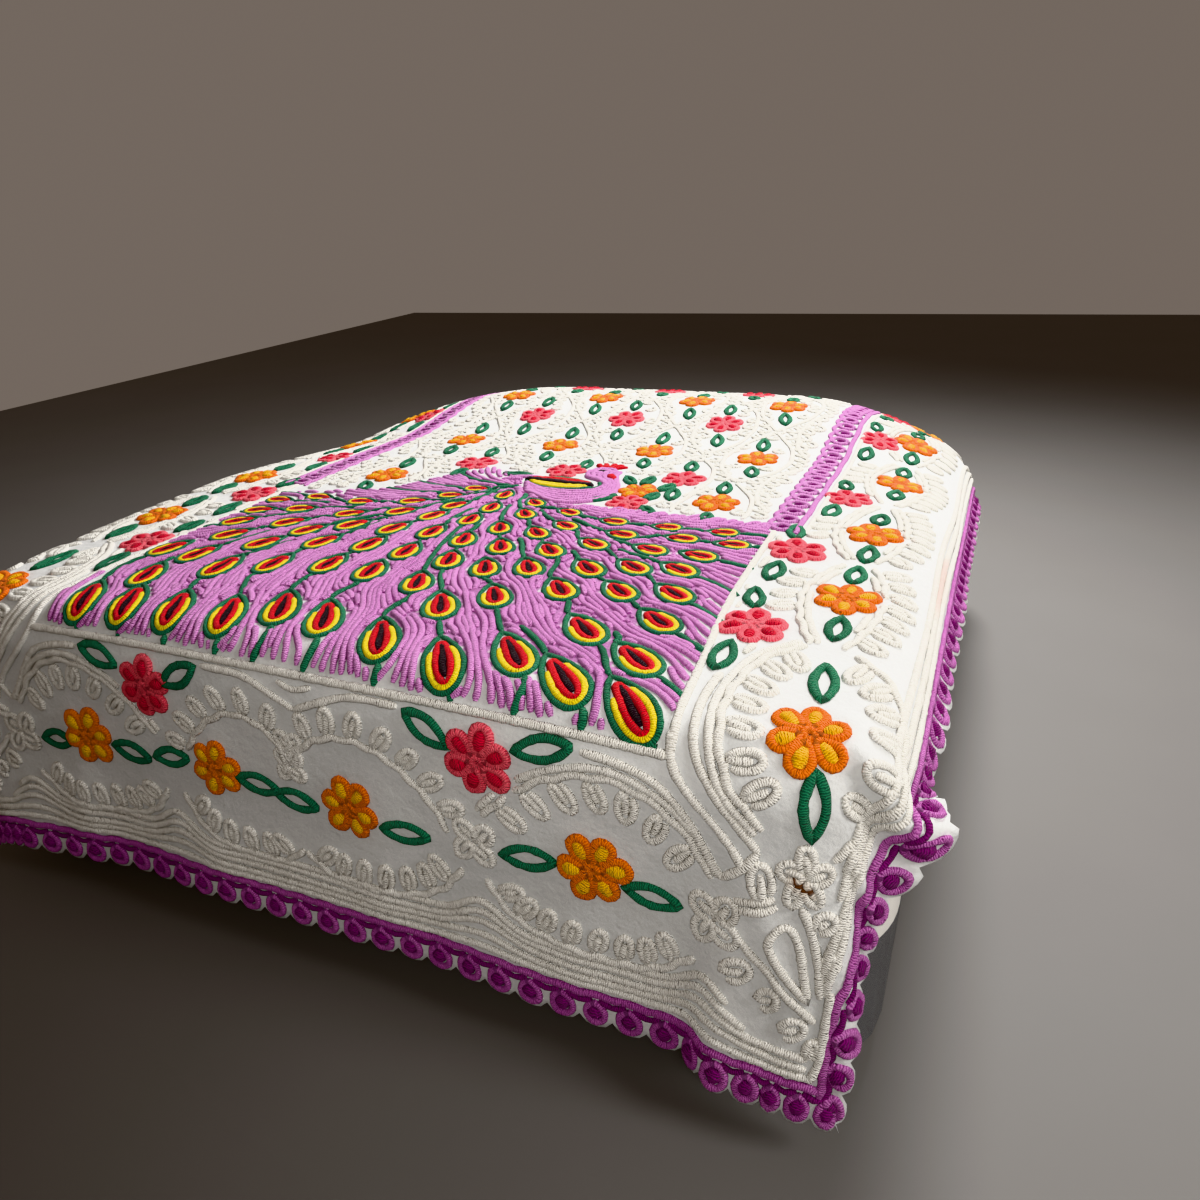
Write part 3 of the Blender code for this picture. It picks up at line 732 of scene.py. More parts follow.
def keep(yarn, path, width):
    """Tuft a row and note that its place is taken."""
    tuft(yarn, path, width)
    taken.add(path)


# %% Green stems from each eye to the next one below it
FARTHEST, SHARPEST, TOUCHING, SHARPEST_TOUCHING, TURN_COST = 0.24, 0.72, 0.012, 1.5, 2.2
LOWEST_EYES, FAN_END = -0.93, -1.002


def stem(start, start_way, end, end_way):
    """A smooth line between two points that leaves and arrives in given directions."""
    reach = np.linalg.norm(end - start)
    u = np.linspace(0, 1, max(3, round(reach / STEP) + 1))[:, None]
    return ((2 * u**3 - 3 * u**2 + 1) * start + (u**3 - 2 * u**2 + u) * reach * start_way
            + (3 * u**2 - 2 * u**3) * end + (u**3 - u**2) * reach * end_way)


def clear_of_eyes(path, but):
    """Whether a path stays off every eye, apart from the two that it joins."""
    others = np.delete(eyes, list(but), axis=0)
    for p in path:
        along, across = seen_from(others, p)
        if np.any((along / (others[:, 4] + 0.004))**2 + (across / (others[:, 5] + 0.002))**2 < 1):
            return False
    return True


ways = eyes[:, 2:4]
round_ends = eyes[:, :2] + ways * eyes[:, 4:5]
tips = eyes[:, :2] - ways * eyes[:, 4:5]
pairs = []
for i in range(len(eyes)):
    for j in range(len(eyes)):
        gap = tips[j] - round_ends[i]
        reach = float(np.linalg.norm(gap))
        turn_off = math.acos(np.clip(gap @ (ways[i] + ways[j]) / 2 / max(reach, 1e-6), -1, 1))
        straight = turn_off < SHARPEST or (reach < TOUCHING and turn_off < SHARPEST_TOUCHING)
        if i != j and reach < FARTHEST and straight:
            pairs.append((reach * (1 + TURN_COST * turn_off**2), i, j))
from_eye, to_eye = set(), set()
for cost, i, j in sorted(pairs):
    if i in from_eye or j in to_eye:
        continue
    path = stem(round_ends[i], ways[i], tips[j], ways[j])
    if clear_of_eyes(path, (i, j)):
        keep("green", path, 0.0118)
        from_eye.add(i)
        to_eye.add(j)


def follow(start, sign, longest, room):
    """Go with the flow (or against it) until the edge, an eye or other yarn is met."""
    p, path = np.array(start, float), [np.array(start, float)]
    while within_fan(p) and len(path) * STEP < longest:
        p = p + sign * STEP * flow(p)
        if len(path) > 2 and (in_an_eye(p, 0.0) or taken.nearest(p) < room):
            break
        path.append(p)
    return np.array(path), not within_fan(p)


for i in range(len(eyes)):
    if i not in from_eye and round_ends[i][1] < LOWEST_EYES:
        foot = np.array((round_ends[i][0] + ways[i][0] * 0.004 + 0.004, FAN_END))
        tuft("green", stem(round_ends[i], ways[i], foot, np.array((0.0, -1.0))), 0.015)
    elif i not in from_eye:
        path, at_edge = follow(round_ends[i], 1, 0.19, 0.01)
        if at_edge and len(path) > 1:
            keep("green", path, 0.0122)
    if i not in to_eye:
        path, at_edge = follow(tips[i], -1, 0.11, 0.012)
        if len(path) > 3:
            keep("green", path, 0.0125)
for start in ((-0.3, -0.165), (-0.235, -0.085), (-0.355, -0.235)):
    keep("green", grow(start, 0.0085, 0.004), 0.013)
print("stems:", len(from_eye), "between eyes")

# %% Orchid rows between them
SPACING, ORCHID, BARB = 0.0102, 0.0132, 0.015
COVER_SIDE, COVER_FOOT = 0.575, -0.935
RIM_SIDE, RIM_FOOT, SEED_FOOT = 0.59, -0.975, -0.945
COMB_DEPTH, COMB_GAP, COMB_SPACING = 0.075, 1.85, 1.9
barb_ends = Taken(0.03)


def is_comb(p):
    """Whether a point is in the loose feathers behind the bird, where rows are wider apart."""
    return p[0] < -0.1 and p[1] > np.interp(p[0], *FAN_TOP) - COMB_DEPTH


def trimmed(path):
    """Cut a row back from the panel's edge where its neighbours already reach it."""
    for _ in range(2):
        path = path[::-1]
        tip = path[-1]
        at_edge = abs(tip[0]) > RIM_SIDE or tip[1] < RIM_FOOT
        if at_edge and barb_ends.nearest(tip) < BARB:
            inside = np.abs(path[:, 0]) < rng.uniform(0.552, 0.566)
            path = path[inside & (path[:, 1] > rng.uniform(-0.948, -0.932))]
        elif at_edge:
            barb_ends.add([tip])
        if len(path) < 3:
            break
    return path


def try_row(p, gap, shortest, waiting):
    """Grow an orchid row from p if there is room, and queue places beside it."""
    if is_comb(p):
        gap = gap * COMB_GAP
    if not within_fan(p) or in_an_eye(p, 0.0052) or taken.nearest(p) < gap:
        return
    path = grow(p, gap * 0.88, 0.0046)
    if len(path) >= shortest:
        path = trimmed(path)
    if len(path) < shortest:
        return
    keep("orchid", path, ORCHID)
    for k in range(1, len(path) - 1, 2):
        way = path[k + 1] - path[k - 1]
        normal = np.array((-way[1], way[0])) / max(np.linalg.norm(way), 1e-6)
        for sign in SIDES:
            beside_it = path[k] + sign * (COMB_SPACING if is_comb(path[k]) else 1.0) * SPACING * normal
            if beside_it[1] > SEED_FOOT and abs(beside_it[0]) < COVER_SIDE:
                waiting.append(tuple(beside_it))


grid = [(s, t) for t in np.arange(COVER_FOOT, 0.0, 0.008) for s in np.arange(-0.6, 0.605, 0.008)]
waiting = [(-0.1, -0.3), (0.1, -0.3), (0.0, -0.62), (0.3, -0.5), (-0.3, -0.52), (0.5, -0.66)]
for share, shortest in ((0.97, 6), (0.86, 4), (0.74, 2)):
    for seeds in [[]] + [[p] for p in grid]:
        waiting += seeds
        while waiting:
            try_row(waiting.pop(0), SPACING * share, shortest, waiting)
for s0 in np.arange(-0.606, 0.612, 0.008):
    p = np.array((s0, -0.9975 + rng.uniform(0, 0.005)))
    if barb_ends.nearest(p) > 0.014 and taken.nearest(p) > 0.0092 and not in_an_eye(p, 0.003):
        path = grow(p, 0.008, 0.004)
        if len(path) > 2:
            keep("orchid", path, ORCHID)
            barb_ends.add([p])
for s0 in np.arange(0.15, 0.6, 0.0205):
    s0, rise = s0 + rng.uniform(-0.004, 0.004), rng.uniform(0.018, 0.034)
    tuft("orchid", [(s0, -0.262), (s0 + 0.6 * rise, -0.256 + 0.5 * rise), (s0 + 1.2 * rise, -0.252 + rise)],
         0.014)
cover = [float(within_fan(p) and p[1] > COVER_FOOT and abs(p[0]) < COVER_SIDE
               and not in_an_eye(p, -0.004) and not is_comb(p)) for p in flat_places]
sheet.data.attributes.new("pile_cover", "FLOAT", "POINT").data.foreach_set("value", cover)
print("orchid rows:", len(lines["orchid"]))

# %% [markdown]
# ## Flowers of the field and the borders
#
# Flowers stand in staggered rows, orange and pink by turns, each with a leaf above
# and one below.  The rows are spaced one by one, so the places are written out.

# %% Flowers and leaves by their places
UPRIGHT = math.pi / 2
FIELD = (
    (orange_flower, -0.135, (-.43, .456)), (pink_flower, 0.01, (-.25, .018, .328)),
    (orange_flower, 0.23, (-.41, -.107, .173, .456)), (pink_flower, 0.46, (-.296, .003, .3)),
    (orange_flower, 0.635, (-.45, -.14, .163, .445)), (pink_flower, 0.85, (-.3, .0, .3)),
    (orange_flower, 1.02, (-.45, -.15, .15, .45)),
)
BESIDE_BIRD = (0.018, 0.328)
for draw, t, places in FIELD:
    for s in places:
        drift = rng.uniform(-0.006, 0.006)
        draw(s, t + drift, 0.056, rng.uniform(0, 1))
        if t > 0.1 or s != BESIDE_BIRD[0]:
            leaf(s - 0.012, t + 0.108, math.radians(99 + rng.uniform(-5, 5)))
            if t > 0.1 or s == BESIDE_BIRD[1]:
                leaf(s + 0.014, t - 0.112, math.radians(101 + rng.uniform(-6, 6)))
orange_flower(0.256, -0.1, 0.05, 0.2)
pink_flower(0.262, -0.186, 0.052, 0.5)
for s, t, angle, length, width in (
    (0.046, 0.07, 1.75, 0.08, 0.034), (-0.25, -0.075, 1.5, 0.075, 0.036), (-0.428, -0.232, 2.1, 0.08, 0.036),
    (0.462, -0.226, 1.6, 0.05, 0.03), (0.208, -0.03, 2.2, 0.075, 0.03), (0.252, -0.022, 1.45, 0.07, 0.03),
    (0.198, -0.17, 0.95, 0.075, 0.03), (0.312, -0.06, 1.2, 0.066, 0.03), (0.302, -0.132, 1.3, 0.06, 0.03),
    (0.325, -0.222, -0.75, 0.06, 0.03), (-0.09, -0.052, 0.05, 0.08, 0.03),
):
    leaf(s, t, angle, length, width)

SIDE_PINKS, SIDE_ORANGES = (-.68, -.35, .015, .5, .9), (-.53, -.21, .223, .556, .93)
for side in SIDES:
    for t in SIDE_PINKS:
        s, size = (0.684, 0.06) if t < -0.2 else (0.722, 0.056)
        pink_flower(side * s, t, size, rng.uniform(0, 1))
        leaf(side * (s - 0.024), t + 0.098, UPRIGHT + side * 0.2, 0.078, 0.038)
        leaf(side * (s - 0.02), t - 0.108, UPRIGHT - side * 0.04, 0.092, 0.04)
    for t in SIDE_ORANGES:
        orange_flower(side * 0.808, t, 0.061, rng.uniform(0, 1))
        leaf(side * 0.806, t + 0.105, UPRIGHT, 0.08, 0.04)
        leaf(side * 0.812, t - 0.11, UPRIGHT, 0.086, 0.04)
    orange_flower(side * 0.827, -0.933, 0.061, 0.45)
    pink_flower(side * 0.35, -1.085, 0.064, 0.35)
    orange_flower(side * 0.54, -1.222, 0.064, 0.15)
    for s, t, base, tilt, length, width in (
        (0.822, -0.806, UPRIGHT, 0.12, 0.105, 0.042), (0.86, -1.022, UPRIGHT, 0.28, 0.1, 0.044),
        (0.26, -1.05, 0, -0.5, 0.098, 0.044), (0.46, -1.04, 0, 0.26, 0.104, 0.042),
        (0.428, -1.238, 0, 0.14, 0.104, 0.044), (0.634, -1.244, 0, -0.06, 0.094, 0.042),
    ):
        leaf(side * s, t, base + side * tilt, length, width)
orange_flower(0.088, -1.236, 0.062, 0.9)
orange_flower(-0.205, -1.222, 0.06, 0.3)
for s, t, angle in ((0.198, -1.256, 0.0), (-0.028, -1.25, -0.12), (-0.112, -1.236, -0.1),
                    (-0.32, -1.226, 0.16)):
    leaf(s, t, angle, 0.098, 0.042)
print("flowers:", len(lines["gold"]) // 6 + len(lines["crimson"]) // 6)

# %% [markdown]
# ## White curls of the ground
#
# The white rows matter as much as the coloured ones, because they give the cloth its
# relief.  In the field every flower stands in an ogee, and the ground outside the
# ogees is filled with rows of scales that point away from them.

# %% Ogees of the field and their scales
OGEE_WIDTH, OGEE_RISE, OGEE_ROPE = 0.082, 0.2, 0.0122
OGEE = ((0.003, 1.0), (0.03, 0.8), (0.066, 0.5), (OGEE_WIDTH, 0.1), (OGEE_WIDTH, -0.1), (0.066, -0.5),
        (0.03, -0.8), (0.003, -1.0))
SCALE_GAP, SCATTER = 0.036, 0.0205


def scale(s, t, angle, size):
    """A loop open on one side with one stroke in it, like a fish scale."""
    around = np.linspace(-2.25, 2.25, 10)
    shape = np.stack([size * (np.cos(around) + 0.15), 0.94 * size * np.sin(around)], -1)
    stroke = [(-0.55 * size, 0.1 * size), (0.2 * size, -0.05 * size)]
    tuft("white_field", turned(shape, angle, (s, t)), OGEE_ROPE)
    tuft("white_field", turned(stroke, angle, (s, t)), 0.0118)
    scales.add([(s, t)])


def in_field(p, margin):
    """Whether a flat point is in the field above the fan, and this far inside its edge."""
    low = np.interp(p[0], *FAN_TOP) + 0.022 + margin
    return abs(p[0]) < 0.584 - margin and low < p[1] < 1.125 - margin


def scale_fits(p, room):
    """Whether a scale has room here, beside the flowers and the other scales."""
    return in_field(p, 0.016) and coloured.nearest(p) > room and scales.nearest(p) > SCALE_GAP


for rows in lines.values():
    for row in rows:
        coloured.add(row.path)
scales = Taken(0.045)
middles = [(0.018 + 0.146 * column, rise) for column in range(-4, 5)
           for rise in ((-0.18, 0.23, 0.64, 1.05) if column % 2 else (0.01, 0.44, 0.845))]
for outward in (0.0, 0.023, 0.064):
    for s0, t0 in middles:
        for side in SIDES:
            path = smooth([(s0 + side * (dx + outward), t0 + dy * OGEE_RISE) for dx, dy in OGEE])
            if outward == 0.0:
                for run in free_runs(path, lambda p: in_field(p, 0.004) and beside_colour(p)):
                    tuft("white_field", run, OGEE_ROPE)
                continue
            for place in stations(path, 0.04)[0]:
                if scale_fits(place, 0.03):
                    pointing = (0.0 if side > 0 else math.pi) - side * 0.55
                    scale(*place, pointing + rng.uniform(-0.15, 0.15), 0.0168)
for s in np.arange(-0.57, 0.575, SCATTER):
    for t in np.arange(-0.3, 1.12, SCATTER):
        spot = (s + rng.uniform(-0.004, 0.004), t + rng.uniform(-0.004, 0.004))
        if scale_fits(spot, 0.029):
            scale(*spot, rng.choice((-0.6, math.pi + 0.6)), 0.015)
print("field lines:", len(lines["white_field"]))

# %% [markdown]
# The side borders have a chain of rounder curls on each side of every orange flower,
# straight rows along the edge of the middle panel, and more along the hem.

# %% Side borders
CORNER_LEFT = [(0.78, -0.715), (0.728, -0.775), (0.706, -0.865), (0.712, -0.955), (0.738, -1.022),
               (0.792, -1.075)]
CORNER_RIGHT = [(0.85, -0.72), (0.915, -0.775), (0.945, -0.85), (0.955, -0.94), (0.945, -1.02),
                (0.915, -1.082)]
SIDE_ROWS = (
    [(0.646, -0.975), (0.654, -1.012), (0.676, -1.044), (0.742, -1.104), (0.772, -1.14)],
    [(0.706, -0.722), (0.686, -0.79), (0.673, -0.86), (0.672, -0.93), (0.684, -0.995), (0.728, -1.052),
     (0.788, -1.112)],
    [(0.788, -1.112), (0.772, -1.14), (0.742, -1.17)],
)
for side in SIDES:
    cells = sorted(SIDE_ORANGES)
    for k, t in enumerate(cells):
        below = (t - cells[k - 1]) / 2 if k else 0.185
        above = (cells[k + 1] - t) / 2 if k + 1 < len(cells) else 0.19
        for inner, sign in (((0.776, 0.744, 0.729), -1), ((0.836, 0.862, 0.872), 1)):
            arc = [(inner[0], t + above - 0.012), (inner[1], t + above * 0.5), (inner[2], t),
                   (inner[1], t - below * 0.5), (inner[0], t - below + 0.012)]
            garland(mirrored(arc, side), "white_side", side * sign, 0.044, 1.02, 0.0165)
    garland(mirrored(CORNER_LEFT, side), "white_side", side, 0.056, 1.16, 0.017)
    garland(mirrored(CORNER_RIGHT, side), "white_side", -side, 0.053, 1.12)
    for points in SIDE_ROWS:
        plain_rope("white_side", points, side)
    edge_points = [(0.618, -0.262), (0.622, -0.6), (0.64, -0.82), (0.652, -1.009)]
    tuft("white_side", smooth(mirrored(edge_points, side)))
    for k, foot in enumerate((-1.14, -1.28, -1.3)):
        s = 0.944 + 0.015 * k
        wave = [(s + 0.003 * math.sin(9 * t + k), t) for t in np.arange(foot, 1.1, 0.05)]
        tuft("white_side", smooth(mirrored(wave, side)))
    for t in (-0.28, -0.52):
        plain_rope("white_side", [(0.632, t), (0.642, t - 0.06), (0.638, t - 0.14), (0.63, t - 0.22)], side)
print("side rows:", len(lines["white_side"]))

# %% [markdown]
# The foot border has three shields, a small one on each side and a wide one in the
# middle, with a knot of curls between them.  Straight rows run along the hem below
# and rise into small arches under the knots.

# %% Foot border
SHIELD_TOP = [(0.352, -1.186), (0.385, -1.15), (0.43, -1.112), (0.49, -1.08), (0.56, -1.066), (0.625, -1.082),
              (0.68, -1.122), (0.722, -1.18)]
SHIELD_LOW = [(0.352, -1.3), (0.385, -1.345), (0.44, -1.372), (0.56, -1.384), (0.64, -1.372), (0.705, -1.325)]
MIDDLE_TOP = [(0.004, -1.182), (0.022, -1.14), (0.07, -1.108), (0.13, -1.1), (0.182, -1.116), (0.228, -1.148),
              (0.266, -1.192), (0.286, -1.232)]
MIDDLE_LOW = [(0.006, -1.352), (0.05, -1.384), (0.11, -1.39), (0.2, -1.38), (0.262, -1.348), (0.3, -1.296)]
MIDDLE_SHIFT, MIDDLE_HALF = 0.028, 0.3
ROWS_ABOVE = (
    [(0.0, -1.066), (0.05, -1.046), (0.115, -1.026), (0.205, -1.024)],
    [(0.506, -1.03), (0.58, -1.035), (0.64, -1.052), (0.682, -1.092), (0.716, -1.138), (0.742, -1.17)],
)
KNOTS = ((0.33, -1.238, 0.92, 0.7, 4, 1.4), (0.738, -1.244, 1.0, 0.9, 4, 1.55),
         (0.88, -1.13, 1.08, 0.5, 5, 1.15))
POCKET = [(0.936, -1.322), (0.88, -1.288), (0.832, -1.252), (0.846, -1.224), (0.872, -1.214), (0.898, -1.238),
          (0.916, -1.276), (0.936, -1.322)]
CORNER_CURLS = ((0.802, -1.156, 1.9, 1.25), (0.936, -1.188, 0.9, 1.0), (0.966, -1.246, 1.2, 0.7),
                (0.786, -1.312, 0.4, 1.15), (0.852, -1.34, 0.3, 1.15), (0.918, -1.374, 0.4, 1.15),
                (0.964, -1.4, 1.3, 0.8))
CORNER_ROWS = (
    [(0.768, -1.212), (0.812, -1.2), (0.838, -1.186)], [(0.766, -1.198), (0.806, -1.186), (0.83, -1.176)],
    [(0.776, -1.256), (0.806, -1.276), (0.862, -1.304), (0.92, -1.334), (0.958, -1.352)],
    [(0.886, -1.176), (0.908, -1.2), (0.929, -1.23), (0.948, -1.266), (0.962, -1.31)],
)
for side in SIDES:
    garland(mirrored(SHIELD_TOP, side), "white_foot", -side, 0.062, 1.18, 0.017)
    garland(mirrored(SHIELD_LOW, side), "white_foot", side, 0.05, 1.06)
    for points in (MIDDLE_TOP, MIDDLE_LOW):
        points = mirrored(points, side)
        points[:, 0] -= MIDDLE_SHIFT * (1 - np.abs(points[:, 0]) / MIDDLE_HALF)
        garland(points, "white_foot", side, 0.049, 1.06)
    for points in ROWS_ABOVE:
        plain_rope("white_foot", points, side)
    for s, *drawing in KNOTS:
        rosette(side * s, *drawing)
    tuft("white_foot", smooth(mirrored(POCKET, side))[:-1], ROPE, True)
    for s, t, angle, size in CORNER_CURLS:
        curl((side * s, t), angle if side > 0 else math.pi - angle, size, side, 1.25)
    for points in CORNER_ROWS:
        plain_rope("white_foot", points, side)
tuft("white_foot", [(s, -1.009) for s in np.arange(-0.65, 0.6505, 0.01)], 0.015)
tuft("white_foot", smooth([(-0.035, -1.024), (0.0, -1.032), (0.035, -1.024)]), THIN)
rosette(-0.03, -1.18, 0.7, 0.8, 4, 1.5)
HEM_ROWS = ((-1.3895, 0.04, 0.78), (-1.404, 0.034, 0.82), (-1.4185, 0.026, 0.96), (-1.433, 0.016, 0.968),
            (-1.4475, 0.007, 0.976))
for k, (t, rise, reach) in enumerate(HEM_ROWS):
    s = np.arange(-reach, reach + 0.001, 0.01)
    arches = sum(np.exp(-((s - middle) / (0.05 + 0.006 * k))**2) for middle in (-0.735, -0.335, 0.335, 0.735))
    path = np.stack([s, t + rise * arches + 0.0015 * np.sin(11 * s + 2 * k)], -1)
    if k == 4:
        path = np.vstack([[(-0.984, -1.29), (-0.984, -1.42)], path, [(0.984, -1.42), (0.984, -1.29)]])
    tuft("white_foot", path)
print("foot rows:", len(lines["white_foot"]))

# %% [markdown]
# ## Hem and bands
#
# The hem is edged in two shades: a light row, a light loop in every scallop with a
# dark drop in it, and dark arcs from loop to loop.  The bands that frame the field
# are made the same way, only straighter.

# %% Loops of the hem and the bands
Edging = namedtuple("Edging", "yarn depth width core arcs")
HEM, BAND = Edging("orchid_hem", 0.06, 0.0178, 0.0285, True), Edging("orchid", 0.062, 0.017, 0.017, False)
LOOP_ROPE, ARC_ROPE, BAND_PITCH, BAND_START, BAND_COUNT = 0.0134, 0.0112, 0.0515, -0.235, 27
ARC = ((0.1, 0.9), (0.3, 0.83), (0.5, 0.78), (0.7, 0.82), (0.9, 0.9))


def edging(place, inward, way, pitch, kind, last=False):
    """One scallop: place is on the edge, inward and way are unit directions."""
    def at(along, deep):
        return np.asarray(place) + np.asarray(way) * along + np.asarray(inward) * deep

    own = rng.uniform(0.94, 1.05)
    middle, half = kind.depth * 0.475, kind.depth * 0.342 * own
    loop = [at(kind.width * own * math.sin(a) * (1 - 0.14 * math.cos(a)), middle + half * math.cos(a))
            for a in all_round(16)]
    tuft(kind.yarn, loop, LOOP_ROPE, True)
    drop = [at(0.002, middle + half * 0.66), at(0, middle + half * 0.1), at(0, middle - half * 0.4)]
    tuft("plum", drop, kind.core)
    if kind.arcs and not last:
        tuft("plum", smooth([at(pitch * along, kind.depth * deep) for along, deep in ARC]), ARC_ROPE)


def hem_side(x0, y0, x1, y1):
    """Edging along one side of the sheet, and the light row inside it."""
    length = math.hypot(x1 - x0, y1 - y0)
    way = np.array((x1 - x0, y1 - y0)) / length
    inward = np.array((-way[1], way[0]))
    count, pitch = scallops(length)
    for k in range(count):
        place = np.array((x0, y0)) + way * (SCALLOP_DEPTH + pitch * (k + 0.5)) + inward * 0.0015
        edging(place, inward, way, pitch, HEM, k == count - 1)
    run = np.arange(0.055, length - 0.055, 0.0085)
    dip = 0.0035 * np.abs(np.sin(math.pi * (run - SCALLOP_DEPTH) / pitch))
    tuft(HEM.yarn, np.array((x0, y0)) + way * run[:, None] + inward * (0.064 + dip)[:, None], 0.015)


corners = [(-SIDE_HEM, -FOOT_HEM), (SIDE_HEM, -FOOT_HEM), (SIDE_HEM, HEAD_HEM), (-SIDE_HEM, HEAD_HEM)]
for k in range(4):
    hem_side(*corners[k], *corners[(k + 1) % 4])
for side in SIDES:
    for k in range(BAND_COUNT):
        edging((side * 0.598, BAND_START + BAND_PITCH * k), (side, 0), (0, 1), BAND_PITCH, BAND)
    run = np.arange(-0.262, 1.125, 0.01)
    wavy = 0.6 + 0.004 * np.cos(2 * math.pi * (run - BAND_START) / BAND_PITCH)
    for yarn, s, width in ((BAND.yarn, 0.66 + 0.0012 * np.sin(40 * run), 0.014), (BAND.yarn, wavy, 0.013),
                           ("white_side", 0.678 + 0 * run, THIN)):
        tuft(yarn, np.stack([side * s, run], -1), width)
lengths = {yarn: sum(run_along(row.path)[-1] for row in rows) for yarn, rows in lines.items()}
print("metres of rope:", {yarn: round(float(length), 1) for yarn, length in lengths.items()})

# %% [markdown]
# ## From lines to ropes
#
# One Geometry Nodes tree turns all lines into yarn.  Each line comes in as a chain of
# edges on the cloth, with the way the cloth faces and the rope's width stored on its
# points.  The tree makes curves of them, turns each curve to stand on the cloth,
# varies its width a little, and sweeps a low oval along it.


# %% Chains of edges on the cloth
def store(mesh, name, values):
    """Keep a number or a vector for each point of a mesh."""
    kind, key = ("FLOAT", "value") if np.ndim(values) == 1 else ("FLOAT_VECTOR", "vector")
    mesh.attributes.new(name, kind, "POINT").data.foreach_set(key, np.ravel(values))


def yarn_chains(name, rows):
    """All lines of one yarn, laid on the cloth as chains of edges."""
    places, facing = zip(*(lay(row.path[:, 0], row.path[:, 1]) for row in rows))
    counts = [len(row.path) for row in rows]
    links, first = [], 0
    for row, count in zip(rows, counts):
        chain = np.arange(first, first + count)
        links.append(np.stack([chain[:-1], chain[1:]], -1))
        if row.closed:
            links.append([(chain[-1], chain[0])])
        first += count
    mesh = bpy.data.meshes.new(name)
    mesh.from_pydata(np.vstack(places).tolist(), np.vstack(links).tolist(), [])
    store(mesh, "facing", np.vstack(facing))
    store(mesh, "width", np.repeat([row.width for row in rows], counts))
    store(mesh, "tone", np.repeat([rng.uniform() for _ in rows], counts))
    store(mesh, "flat_place", np.pad(np.vstack([row.path for row in rows]), ((0, 0), (0, 1))))
    return placed(name, mesh)


# %% [markdown]
# Maths in a node tree is easier to read as an expression, so a small class wraps a
# socket and lets it be added and multiplied.  Every other node comes from one method.

# %% Sockets as numbers
class Share:
    """A socket of a node tree that takes part in Python arithmetic."""

    def __init__(self, graph, socket):
        self.graph, self.socket = graph, socket

    def maths(self, operation, *values):
        return self.graph.node("ShaderNodeMath", {"operation": operation}, dict(enumerate(values)))

    def __add__(self, other):
        return self.maths("ADD", self, other)

    def __sub__(self, other):
        return self.maths("SUBTRACT", self, other)

    def __rsub__(self, other):
        return self.maths("SUBTRACT", other, self)

    def __mul__(self, other):
        return self.maths("MULTIPLY", self, other)

    def squared(self):
        return self.maths("POWER", self, 2.0)

    def sine(self):
        return self.maths("SINE", self)

    def smaller(self, other):
        return self.maths("MINIMUM", self, other)

    def between(self, low, high, bottom=0.0, top=1.0):
        """Bottom below low, top above high, and a soft step between them."""
        return self.graph.node("ShaderNodeMapRange", {"interpolation_type": "SMOOTHSTEP"},
                               {0: self, 1: low, 2: high, 3: bottom, 4: top})

    def all(self):
        """Every output of the node that this socket belongs to."""
        return [Share(self.graph, socket) for socket in self.socket.node.outputs]


class Graph:
    """A node tree, and short ways to add nodes to it."""

    def __init__(self, tree):
        self.tree = tree

    def node(self, kind, settings=None, values=None, output=0):
        node = self.tree.nodes.new(kind)
        for key, value in (settings or {}).items():
            setattr(node, key, value)
        for key, value in (values or {}).items():
            if isinstance(value, Share):
                self.tree.links.new(value.socket, node.inputs[key])
            else:
                node.inputs[key].default_value = value
        return Share(self, node.outputs[output])

    def parts(self, vector):
        return self.node("ShaderNodeSeparateXYZ", values={0: vector}).all()


print("node helpers ready")

# %% The tree that makes the ropes
SEGMENT, SINK, UNEVENNESS, RISE, FIELD_RISE, SIDES_OF_OVAL = 0.0078, 0.22, 0.11, 0.7, 0.58, 6


def geometry(kind, graph, settings=None, **inputs):
    """A geometry node by the short part of its name, its inputs as _0, _1 and so on."""
    return graph.node("GeometryNode" + kind, settings, {int(key[1:]): value for key, value in inputs.items()})


def captured(graph, shape, name, value):
    """Note a number on a shape before the shape changes."""
    node = geometry("CaptureAttribute", graph, _0=shape).socket.node
    node.capture_items.new("FLOAT", name)
    graph.tree.links.new(value.socket, node.inputs[1])
    return Share(graph, node.outputs[0]), Share(graph, node.outputs[1])


